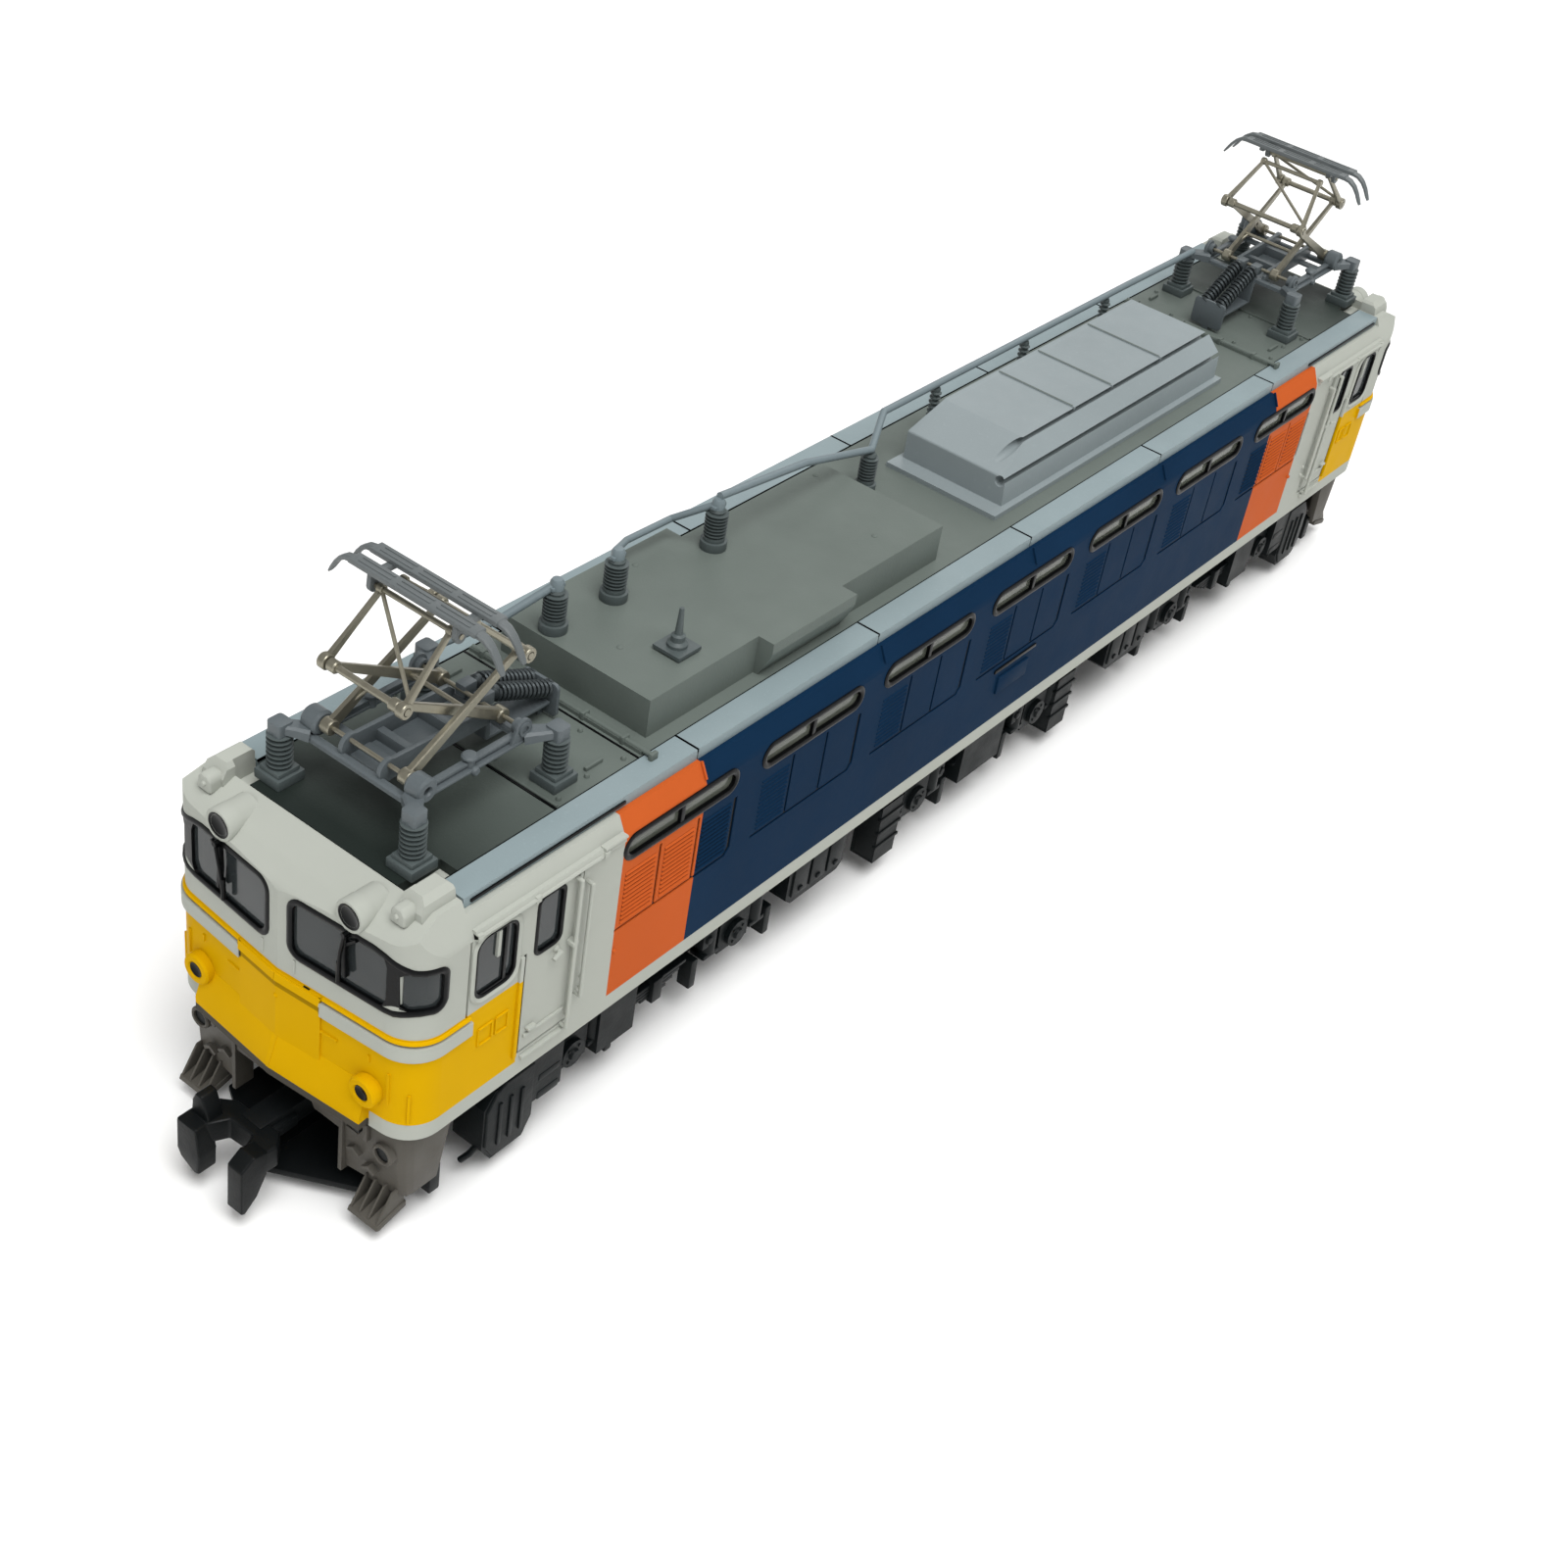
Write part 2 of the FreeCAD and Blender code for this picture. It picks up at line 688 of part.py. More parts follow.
def light_guides():
    """Clear guides: a headlight bar with two noses, and a tail-lamp bar with two noses."""
    head_bar = box((55.4, 56.4), (-5.6, 5.6), (20.85, 21.5))
    stem = box((51.6, 55.5), (-1.2, 1.2), (20.85, 21.1))
    nose = cylinder("X", (55.6, HEADLIGHT_SIDE, LAMP_HEIGHT), 1.95, GUIDE_RADIUS)
    tail_bar = box((55.2, 55.9), (-7.0, 7.0), (10.4, 11.1))
    tail_nose = cylinder("X", (55.8, TAIL_LAMP[0], TAIL_LAMP[1]), 2.1, GUIDE_RADIUS)
    head = join([head_bar, stem] + both_sides(nose))
    tail = join([tail_bar] + both_sides(tail_nose))
    return group(both_ends(head) + both_ends(tail))


node("light_guides", light_guides())


def light_boards():
    """Upright circuit board behind each cab, with its lamp facing the guide."""
    board = box((50.2, 50.9), (-5.5, 5.5), (13.2, 21.15))
    lamp = box((50.9, 51.5), (-0.8, 0.8), (20.3, 21.1))
    low_lamp = box((50.9, 51.4), (-0.8, 0.8), (13.4, 14.2))
    return group(both_ends(join([board, lamp, low_lamp])))


node("light_boards", light_boards())


def handrails():
    """Bent wire grab rails beside each cab door."""
    out = S.bodyHalfWidth + 0.45
    inside = S.bodyHalfWidth
    rails = []
    for x, low, high in ((45.7, 9.6, 20.4), (44.75, 11.4, 19.6)):
        rail = rod([(x, inside, low), (x, out, low), (x, out, high), (x, inside, high)], 0.13)
        for copy in both_sides(rail):
            rails += both_ends(copy)
    return group(rails)


node("handrails", handrails())


def windscreen_wipers():
    """One wiper per windscreen: spindle through the brow, arm and blade."""
    wipers = []
    spindle = cylinder("X", (57.0, 4.8, WIPER_HEIGHT), 1.1, WIPER_SPINDLE)
    arm = rod([(58.0, 4.8, WIPER_HEIGHT), (57.98, 4.5, 19.3), (57.88, 4.35, 17.5)], 0.1)
    blade = rod([(57.86, 4.35, 18.6), (57.86, 4.35, 17.2)], 0.14)
    wiper = join([spindle, arm, blade])
    for copy in both_sides(wiper):
        wipers += both_ends(copy)
    return group(wipers)


node("windscreen_wipers", windscreen_wipers())

# ---------------------------------------------------------------------------------------------
# End skirts
# ---------------------------------------------------------------------------------------------


def end_skirt():
    """Front apron with side returns, a wide notch for the coupler, tongues and footsteps."""
    side = prism("XZ_Plane", [
        (57.35, S.floorHeight), (52.6, S.floorHeight), (52.4, 6.4), (53.9, 2.65), (56.7, 2.9),
    ], -8.6, 8.6)
    plan = prism("XY_Plane", [
        (57.4, 0), (56.8, 8.6, 1.6), (50, 8.6), (50, -8.6), (56.8, -8.6, 1.6),
    ], 0, S.floorHeight + 1)
    inside = box((50, 56.0), (-7.9, 7.9), (0, S.floorHeight + 1))
    notch = box((50, 60), (-3.85, 3.85), (0, 6.5))
    apron = cut(overlap([side, plan]), [inside, notch])
    tongue = box((55.0, 56.25), (1.5, 6.8), (S.floorHeight - 0.6, S.floorHeight + 2.0))
    step_back = box((56.2, 57.0), (5.7, 8.2), (1.1, 3.2))
    treads = [box((56.2, 58.5), (5.5, 8.35), (level, level + 0.3)) for level in (0.95, 1.65)]
    step = join([step_back] + treads)
    return join([apron] + both_sides(tongue) + both_sides(step))


front_skirt = node("end_skirt_front", end_skirt())
node("end_skirt_rear", front_to_rear(front_skirt))

# ---------------------------------------------------------------------------------------------
# Chassis, motor and drive
# ---------------------------------------------------------------------------------------------

CHASSIS_BOTTOM = 9.8
CHASSIS_TOP = 20.5
CHASSIS_HALF = 7.35
CHASSIS_REACH = 49.5
SCREW_SPOTS = ((21.0, 18.4), (-21.0, 18.4), (47.6, 11.4), (-47.6, 11.4))
SCREW_RADIUS = 0.6
CHANNEL_RADIUS = 2.3
BEARING_SPOTS = (26.6, 43.6)
BEARING_LENGTH = 1.6


def chassis_half():
    """Left half of the die-cast chassis, hollowed for motor, flywheels, worms and bogie towers."""
    casting = prism("XZ_Plane", [
        (-CHASSIS_REACH, CHASSIS_BOTTOM), (CHASSIS_REACH, CHASSIS_BOTTOM), (CHASSIS_REACH, 13.0),
        (46.4, 13.0), (46.4, CHASSIS_TOP), (-46.4, CHASSIS_TOP), (-46.4, 13.0),
        (-CHASSIS_REACH, 13.0),
    ], 0.02, CHASSIS_HALF)
    motor_bay = cylinder("X", (-10.1, 0, S.motorHeight), 20.2, S.motorRadius)
    flywheel_bay = cylinder("X", (-18.4, 0, S.motorHeight), 36.8, S.flywheelRadius + 0.15)
    channel = cylinder("X", (-46.4, 0, S.motorHeight), 92.8, CHANNEL_RADIUS)
    tower_well = box((S.bogieSpacing - 5.6, S.bogieSpacing + 5.6), (-1, 3.7),
                     (CHASSIS_BOTTOM - 1, S.motorHeight + 1))
    cuts = [motor_bay, flywheel_bay, channel] + both_ends(tower_well)
    for x, z in SCREW_SPOTS:
        cuts.append(cylinder("Y", (x, -1, z), CHASSIS_HALF + 2, SCREW_RADIUS))
        cuts.append(cylinder("Y", (x, CHASSIS_HALF - 0.9, z), 2, SCREW_RADIUS * 2))
    return cut(casting, cuts)


left_half = node("chassis_left", chassis_half())
node("chassis_right", left_to_right(left_half))


def chassis_screws():
    """Cross screws with slotted heads in the left half's counterbores, and their nuts."""
    screws = []
    for x, z in SCREW_SPOTS:
        shank = cylinder("Y", (x, -CHASSIS_HALF + 0.1, z), 2 * CHASSIS_HALF - 1.0, SCREW_RADIUS - 0.02)
        head = cylinder("Y", (x, CHASSIS_HALF - 0.9, z), 0.75, SCREW_RADIUS * 1.9)
        nut = cylinder("Y", (x, -CHASSIS_HALF + 0.15, z), 0.75, SCREW_RADIUS * 1.9)
        slot = box((x - 1.5, x + 1.5), (CHASSIS_HALF - 0.4, CHASSIS_HALF), (z - 0.15, z + 0.15))
        screws.append(cut(join([shank, head, nut]), [slot]))
    return group(screws)


node("chassis_screws", chassis_screws())

CASE_REACH = 9.8


def motor_case():
    """Steel can, closed at the rear with a bearing hole, open at the front."""
    bore = S.shaftRadius + S.runningGap
    wall = 0.5
    return turned("X", (0, 0, S.motorHeight), [
        (bore, -CASE_REACH), (S.motorRadius, -CASE_REACH), (S.motorRadius, CASE_REACH),
        (S.motorRadius - wall, CASE_REACH), (S.motorRadius - wall, -CASE_REACH + wall),
        (bore, -CASE_REACH + wall),
    ])


node("motor_case", motor_case())


def motor_magnets():
    """Two arc magnets against the can's wall."""
    outer = S.motorRadius - 0.5
    ring = cut(cylinder("X", (-6, 0, S.motorHeight), 12, outer),
               [cylinder("X", (-7, 0, S.motorHeight), 14, outer - 1.0)])
    gap = box((-7, 7), (-1.6, 1.6), (S.motorHeight - 6, S.motorHeight + 6))
    return cut(ring, [gap])


node("motor_magnets", motor_magnets())


def brush_holder():
    """End bell with a bearing hole and two brushes that reach the commutator."""
    bore = S.shaftRadius + S.runningGap
    outer = S.motorRadius - 0.5
    disc = turned("X", (0, 0, S.motorHeight), [
        (bore, CASE_REACH - 1.2), (outer, CASE_REACH - 1.2), (outer, CASE_REACH), (bore, CASE_REACH),
    ])
    brush = box((7.0, CASE_REACH - 1.1), (1.3, 2.2), (S.motorHeight - 0.5, S.motorHeight + 0.5))
    return join([disc] + both_sides(brush))


node("motor_brush_holder", brush_holder())


def motor_rotor():
    """Slotted core and commutator on the motor shaft, which carries the flywheels too."""
    shaft = cylinder("X", (-21.0, 0, S.motorHeight), 42.0, S.shaftRadius)
    core = cylinder("X", (-5.5, 0, S.motorHeight), 11.0, 2.95)
    commutator = cylinder("X", (6.6, 0, S.motorHeight), 1.9, 1.22)
    slots = []
    for pole in range(5):
        angle = 72.0 * pole
        slot = doc.addObject("Part::Box", "Slot")
        slot.Length = 12
        slot.Width = 0.7
        slot.Height = 2.0
        turn = FreeCAD.Rotation(FreeCAD.Vector(1, 0, 0), angle)
        place(slot, (-6, 0, S.motorHeight), turn)
        start = turn.multVec(FreeCAD.Vector(0, -0.35, 1.6))
        slot.setExpression("Placement.Base.y", text_of(start.y))
        slot.setExpression("Placement.Base.z", text_of(S.motorHeight + start.z))
        slots.append(slot)
    return join([shaft, cut(core, slots), commutator])


node("motor_rotor", motor_rotor())


def flywheel():
    """Brass flywheel with a face recess."""
    return turned("X", (0, 0, S.motorHeight), [
        (S.shaftRadius, 11.0), (S.flywheelRadius, 11.0, 0.2), (S.flywheelRadius, 17.6, 0.2),
        (3.4, 17.6), (3.4, 17.1), (1.6, 17.1), (1.6, 17.6), (S.shaftRadius, 17.6),
    ])


node("flywheels", group(both_ends(flywheel())))


def shaft_bearings():
    """Brass bushes that carry the worm shafts in the chassis."""
    bore = S.shaftRadius + S.runningGap
    bushes = []
    for x in BEARING_SPOTS:
        bush = turned("X", (0, 0, S.motorHeight), [
            (bore, x), (CHANNEL_RADIUS, x), (CHANNEL_RADIUS, x + BEARING_LENGTH),
            (bore, x + BEARING_LENGTH),
        ])
        bushes += both_ends(bush)
    return group(bushes)


node("shaft_bearings", shaft_bearings())

WORM_REACH = 4.1
WORM_ROOT = 1.05


def worm_shaft(centre):
    """Worm on its shaft with a sleeve over the motor shaft. The thread is a swept helix."""
    ahead = 1 if centre > 0 else -1
    middle = S.bogieSpacing * ahead
    height = S.motorHeight.value
    pitch = math.pi * S.gearModule.value
    turns = 6
    length = pitch * turns
    tip = S.wormTipRadius.value
    flank = 0.3
    crest = 0.16
    helix = Part.makeHelix(pitch, length, WORM_ROOT)
    profile = Part.makePolygon([
        FreeCAD.Vector(WORM_ROOT - 0.15, 0, -flank), FreeCAD.Vector(tip, 0, -crest),
        FreeCAD.Vector(tip, 0, crest), FreeCAD.Vector(WORM_ROOT - 0.15, 0, flank),
        FreeCAD.Vector(WORM_ROOT - 0.15, 0, -flank),
    ])
    thread = Part.Wire(helix.Edges).makePipeShell([profile], True, True)
    # Laid along X, the helix starts on the underside, so a thread crest meets the gear below.
    thread.rotate(FreeCAD.Vector(), FreeCAD.Vector(0, 1, 0), 90)
    thread.translate(FreeCAD.Vector(middle.value - length / 2, 0, height))
    core = Part.makeCylinder(WORM_ROOT, length + 1.4,
                             FreeCAD.Vector(middle.value - length / 2 - 0.7, 0, height),
                             FreeCAD.Vector(1, 0, 0))
    worm = doc.addObject("Part::Feature", "Worm")
    worm.Shape = core.fuse(thread)
    inner = 21.4 * ahead
    outer = 46.0 * ahead
    bar = cylinder("X", (min(inner, outer), 0, S.motorHeight), 24.6, S.shaftRadius)
    sleeve = turned("X", (0, 0, S.motorHeight), [
        (S.shaftRadius, 19.2 * ahead), (1.35, 19.2 * ahead), (1.35, 22.6 * ahead),
        (0.5, 22.6 * ahead), (0.5, 21.4 * ahead), (S.shaftRadius, 21.4 * ahead),
    ])
    return join([bar, sleeve, worm])


node("worm_front", worm_shaft(1))
node("worm_rear", worm_shaft(-1))


def pickup_strips():
    """Copper strips along the chassis sides."""
    strip = box((-33, 33), (CHASSIS_HALF, CHASSIS_HALF + 0.2), (11.2, 12.4))
    return group(both_sides(strip))


node("pickup_strips", pickup_strips())


def underfloor_boxes():
    """Equipment boxes between the bogies, on a carrier plate under the chassis."""
    plate = box((14.0, 21.8), (-6.6, 6.6), (6.2, CHASSIS_BOTTOM))
    side_box = prism("XZ_Plane", [
        (16.8, 7.6), (23.0, 7.6), (23.0, 4.6), (22.4, 4.1), (17.4, 4.1), (16.8, 4.6),
    ], 6.4, 8.75)
    tank = cylinder("X", (16.0, 0, 5.8), 5.4, 1.7)
    return group(both_ends(join([plate, tank] + both_sides(side_box))))


node("underfloor_boxes", underfloor_boxes())

# ---------------------------------------------------------------------------------------------
# Gears and wheelsets
# ---------------------------------------------------------------------------------------------


def spur_gear(teeth, width, spot, phase):
    """Toothed wheel about Y, made of one tooth in a polar pattern. phase turns it, in degrees."""
    count = int(teeth.value)
    pitch_radius = S.gearModule * teeth / 2
    tip = pitch_radius + S.gearModule * 0.9
    root = pitch_radius - S.gearModule * 1.2
    body = doc.addObject("PartDesign::Body", "Gear")
    disc = body.newObject("Sketcher::SketchObject", "Disc")
    disc.AttachmentSupport = [(plane_of(body, "XZ_Plane"), "")]
    disc.MapMode = "FlatFace"
    circle = disc.addGeometry(Part.Circle(FreeCAD.Vector(), FreeCAD.Vector(0, 0, 1), root.value))
    disc.addConstraint(Sketcher.Constraint("Coincident", circle, 3, -1, 1))
    index = disc.addConstraint(Sketcher.Constraint("Radius", circle, root.value))
    disc.setExpression("Constraints[%d]" % index, root.text)
    blank = body.newObject("PartDesign::Pad", "Blank")
    blank.Profile = disc
    blank.setExpression("Length", text_of(width))
    blank.SideType = "Symmetric"
    tooth_root = 0.38
    tooth_tip = 0.14
    tooth_sketch = add_outline(body, "XZ_Plane", [
        (root - 0.2, -tooth_root), (pitch_radius, -0.25), (tip, -tooth_tip), (tip, tooth_tip),
        (pitch_radius, 0.25), (root - 0.2, tooth_root),
    ])
    tooth = body.newObject("PartDesign::Pad", "Tooth")
    tooth.Profile = tooth_sketch
    tooth.setExpression("Length", text_of(width))
    tooth.SideType = "Symmetric"
    pattern = body.newObject("PartDesign::PolarPattern", "Teeth")
    pattern.Originals = [tooth]
    pattern.Axis = (disc, ["N_Axis"])
    pattern.Angle = 360
    pattern.Occurrences = count
    body.Tip = pattern
    place(body, spot, FreeCAD.Rotation(FreeCAD.Vector(0, 1, 0), -phase))
    return body


GEAR_WIDTH = 1.5
WORM_GEAR_HEIGHT = 7.53
STUB_RADIUS = 0.6
GEARBOX_HALF = 2.85


def worm_gear(centre):
    """Worm gear with its stub shaft, a tooth space facing up under the worm."""
    spot = (centre, 0, WORM_GEAR_HEIGHT)
    half_pitch = 180.0 / S.wormGearTeeth.value
    gear = spur_gear(S.wormGearTeeth, GEAR_WIDTH, spot, 90.0 + half_pitch)
    stub_half = GEARBOX_HALF - 0.1
    stub = cylinder("Y", (centre, -stub_half, WORM_GEAR_HEIGHT), 2 * stub_half, STUB_RADIUS)
    return join([gear, stub])


def axle_gear_phase(side):
    """Direction of a tooth on the axle gear so that it meshes with the worm gear."""
    drop = S.axleHeight.value - WORM_GEAR_HEIGHT
    line = math.degrees(math.atan2(drop, side * S.wheelbaseHalf.value))
    tooth_one = 90.0 + 180.0 / S.wormGearTeeth.value
    turns_one = (line - tooth_one) * S.wormGearTeeth.value / 360.0
    turns_two = 0.5 - turns_one
    return line + 180.0 - turns_two * 360.0 / S.axleGearTeeth.value


def wheelset(centre, side, powered):
    """Axle with two flanged wheels, and a gear in the middle of a powered one."""
    x = centre + S.wheelbaseHalf * side
    back = S.backToBackHalf
    wheel = turned("Y", (x, 0, S.axleHeight), [
        (S.axleRadius, back - 0.35), (1.5, back - 0.35), (1.5, back + 0.25), (3.0, back + 0.25),
        (3.2, back), (S.flangeRadius - 0.15, back), (S.flangeRadius, back + 0.2),
        (S.flangeRadius - 0.1, back + 0.42), (S.treadRadius + 0.08, back + 0.6),
        (S.treadRadius, back + 0.75), (S.treadRadius - 0.06, back + 1.95), (3.1, back + 1.95),
        (2.9, back + 1.5), (1.5, back + 1.5), (1.3, back + 1.95), (S.axleRadius, back + 1.95),
    ])
    axle = turned("Y", (x, 0, S.axleHeight), [
        (0, -6.35), (0.3, -6.35), (S.axleRadius, -5.7), (S.axleRadius, 5.7), (0.3, 6.35), (0, 6.35),
    ])
    pieces = [axle] + both_sides(wheel)
    if powered:
        spot = (x, 0, S.axleHeight)
        pieces.append(spur_gear(S.axleGearTeeth, GEAR_WIDTH, spot, axle_gear_phase(side)))
    return join(pieces)


BOGIES = (("front", 1, True), ("middle", 0, False), ("rear", -1, True))
wheelset_number = 0
for name, index, powered in BOGIES:
    for side in (1, -1):
        wheelset_number += 1
        node("wheelset_%d" % wheelset_number, wheelset(S.bogieSpacing * index, side, powered))
    if powered:
        node("worm_gear_" + name, worm_gear(S.bogieSpacing * index))

# ---------------------------------------------------------------------------------------------
# Bogies
# ---------------------------------------------------------------------------------------------

KEEPER_BOTTOM = 1.3
SWIVEL_RADIUS = 3.4
KEEPER_TOP = 1.9


def side_frame(centre, low_end, high_end):
    """Left side frame of a bogie: beam, axle boxes, springs and equipment."""
    inner = S.sideFrameInner
    out = inner + 0.8
    beam = prism("XZ_Plane", [
        (centre + low_end, 7.0), (centre + low_end, 5.6), (centre - 9.9, 5.0), (centre - 9.6, 3.3),
        (centre - 5.7, 3.3), (centre - 5.2, 4.6), (centre - 2.4, 4.6), (centre - 1.9, 3.7),
        (centre + 1.9, 3.7), (centre + 2.4, 4.6), (centre + 5.2, 4.6), (centre + 5.7, 3.3),
        (centre + 9.6, 3.3), (centre + 9.9, 5.0), (centre + high_end, 5.6), (centre + high_end, 7.0),
    ], inner, out)
    pieces = [beam]
    for side in (1, -1):
        x = centre + S.wheelbaseHalf * side
        pieces.append(box((x - 1.5, x + 1.5), (out, out + 0.9), (3.5, 5.9)))
        pieces.append(cylinder("Y", (x, out + 0.8, S.axleHeight), 0.45, 0.95))
        for shift in (-2.3, 2.3):
            pieces.append(cylinder("Z", (x + shift, out + 0.5, 4.2), 2.6, 0.62))
    return pieces


def bogie_frame(centre, powered):
    """Gearbox walls with axle slots, transoms, pivot plate and both side frames."""
    bore = S.axleRadius + S.runningGap
    half = GEARBOX_HALF
    wheelbase = S.wheelbaseHalf
    tower_top = 12.0 if powered else 9.3
    tower_half = 3.2 if powered else 2.0
    walls = prism("XZ_Plane", [
        (centre - 11.7, KEEPER_TOP), (centre + 11.7, KEEPER_TOP), (centre + 11.7, 6.0),
        (centre + 9.5, 7.2), (centre + 5.4, 8.0), (centre + tower_half, tower_top),
        (centre - tower_half, tower_top), (centre - 5.4, 8.0), (centre - 9.5, 7.2),
        (centre - 11.7, 6.0),
    ], -half, half)
    gear_slot = box((centre - 11.2, centre + 11.2), (-1.1, 1.1), (0, 14))
    cuts = [gear_slot]
    for side in (1, -1):
        x = centre + wheelbase * side
        cuts.append(cylinder("Y", (x, -4, S.axleHeight), 8, bore))
        cuts.append(box((x - bore, x + bore), (-4, 4), (0, S.axleHeight)))
    if powered:
        cuts.append(cylinder("Y", (centre, -4, WORM_GEAR_HEIGHT), 8, STUB_RADIUS + S.runningGap))
    if powered:
        swivel_boss = cylinder("Z", (centre, 0, 9.4), 1.6, SWIVEL_RADIUS)
        walls = join([walls, swivel_boss])
    gearbox = cut(walls, cuts)
    pieces = [gearbox]
    transom = box((centre - 2.5, centre + 2.5), (half - 0.3, S.sideFrameInner + 0.3), (5.2, 6.9))
    plate_top = 9.7 if powered else 9.2
    plate = box((centre - 2.6, centre + 2.6), (half - 0.3, 4.4), (plate_top - 0.4, plate_top))
    web = box((centre - 2.6, centre + 2.6), (half - 0.05, half + 0.35), (6.5, plate_top - 0.2))
    pieces += both_sides(transom) + both_sides(plate) + both_sides(web)
    low_end = -10.4 if powered else -12.4
    high_end = 12.4
    frame_pieces = side_frame(centre, low_end, high_end)
    inner = S.sideFrameInner
    if powered:
        frame_pieces.append(box((centre + 2.3, centre + 5.6), (inner + 0.6, 8.6), (3.2, 6.9)))
        frame_pieces.append(box((centre + 9.0, centre + 11.5), (inner + 0.6, 8.8), (3.5, 6.9)))
        frame_pieces.append(prism("XZ_Plane", [
            (centre + 11.3, 7.0), (centre + 11.3, 2.4), (centre + 12.0, 1.2), (centre + 14.6, 1.2),
            (centre + 15.4, 2.4), (centre + 15.4, 5.6), (centre + 14.6, 6.6),
        ], inner, 8.75))
        end_beam = box((centre + 12.5, centre + 14.0), (-inner - 0.2, inner + 0.2), (3.2, 5.4))
        pieces.append(end_beam)
        pieces.append(box((centre + 11.5, centre + 12.7), (-1.6, 1.6), (3.0, 5.4)))
        pieces.append(coupler_pocket(centre + 14.0))
    else:
        frame_pieces.append(box((centre - 2.6, centre + 2.6), (inner + 0.6, 8.6), (3.4, 6.9)))
        for side in (1, -1):
            low = centre + 10.0 if side > 0 else centre - 12.4
            frame_pieces.append(box((low, low + 2.4), (inner + 0.2, 8.6), (1.6, 6.4)))
    for piece in frame_pieces:
        pieces += both_sides(piece)
    return join(pieces)


COUPLER_HEIGHT = 4.2
COUPLER_PIVOT = 17.6
POCKET_LENGTH = 5.6


def coupler_pocket(start):
    """Floor, roof and pin of the pocket that holds the coupler on the end beam."""
    floor = box((start, start + POCKET_LENGTH), (-1.5, 1.5), (2.6, 3.0))
    roof = box((start, start + POCKET_LENGTH), (-1.5, 1.5), (5.4, 5.8))
    back = box((start - 0.2, start + 0.5), (-1.5, 1.5), (2.6, 5.8))
    return join([floor, roof, back])


def keeper_plate(centre, powered):
    """Bottom cover of the gearbox, with pads that hold each axle in its slot."""
    plate = box((centre - 11.0, centre + 11.0), (-GEARBOX_HALF, GEARBOX_HALF),
                (KEEPER_BOTTOM, KEEPER_TOP))
    pads = []
    for side in (1, -1):
        x = centre + S.wheelbaseHalf * side
        pad = box((x - 0.7, x + 0.7), (1.2, GEARBOX_HALF - 0.05),
                  (KEEPER_BOTTOM, S.axleHeight - S.axleRadius - S.runningGap))
        pads += both_sides(pad)
    cover = join([plate] + pads)
    if not powered:
        return cover
    axles = [centre + S.wheelbaseHalf * side for side in (1, -1)]
    gear_windows = [box((x - 2.25, x + 2.25), (-1.1, 1.1), (0, 3)) for x in axles]
    return cut(cover, gear_windows)


front_frame = node("bogie_frame_front", bogie_frame(S.bogieSpacing, True))
node("bogie_frame_rear", front_to_rear(front_frame))
node("bogie_frame_middle", bogie_frame(0, False))
for name, index, powered in BOGIES:
    node("bogie_keeper_" + name, keeper_plate(S.bogieSpacing * index, powered))

# ---------------------------------------------------------------------------------------------
# Couplers
# ---------------------------------------------------------------------------------------------


def coupler_hook():
    """Hook coupler: shank with a T end, cross head, two drop prongs and the lifting nose."""
    pivot = S.bogieSpacing + COUPLER_PIVOT
    head = 59.4
    shank = box((pivot - 0.7, head + 0.5), (-0.8, 0.8), (3.5, 5.0))
    eye = cylinder("Y", (pivot - 0.4, -1.3, COUPLER_HEIGHT), 2.6, 0.6)
    bar = prism("XY_Plane", [
        (head, -2.6), (head + 1.0, -2.9), (head + 1.6, -2.9), (head + 1.6, -1.4), (head + 1.0, -0.9),
        (head + 1.0, 1.1), (head + 1.6, 1.5), (head + 1.6, 2.6), (head + 1.0, 2.6), (head, 2.3),
    ], 3.1, 5.2)
    left_prong = prism("YZ_Plane", [
        (1.1, 4.9), (1.1, 1.9), (1.6, 1.4), (2.4, 2.1), (2.7, 3.3), (2.7, 4.9),
    ], head + 1.3, head + 2.9)
    right_prong = prism("YZ_Plane", [
        (-2.9, 5.0), (-2.9, 2.5), (-2.2, 1.7), (-1.6, 2.1), (-1.4, 3.2), (-1.4, 5.0),
    ], head + 1.3, head + 2.9)
    nose = prism("XZ_Plane", [
        (head + 0.2, 5.1), (head + 2.2, 5.1), (head + 2.4, 5.7), (head + 1.6, 6.6), (head + 0.8, 6.2),
    ], -2.7, -1.5)
    return join([shank, eye, bar, left_prong, right_prong, nose])


def coupler_spring():
    """Closed outline of the small coil spring behind the coupler's T end."""
    start = S.bogieSpacing + COUPLER_PIVOT - 3.0
    return cylinder("X", (start, 0, COUPLER_HEIGHT), 1.9, 0.75)


front_hook = node("coupler_front", coupler_hook())
node("coupler_rear", front_to_rear(front_hook))
front_spring = node("coupler_spring_front", coupler_spring())
node("coupler_spring_rear", front_to_rear(front_spring))

# ---------------------------------------------------------------------------------------------
# Pantographs
# ---------------------------------------------------------------------------------------------

RAIL_SIDE = 3.75
POST_SPOTS = ((5.2, 4.9), (-5.4, 4.9))
ARM_A_SIDE = 2.2
ARM_B_SIDE = 2.85
ARM_RADIUS = 0.24
HEAD_SIDE = 2.45
PIVOT_PIN = 0.22


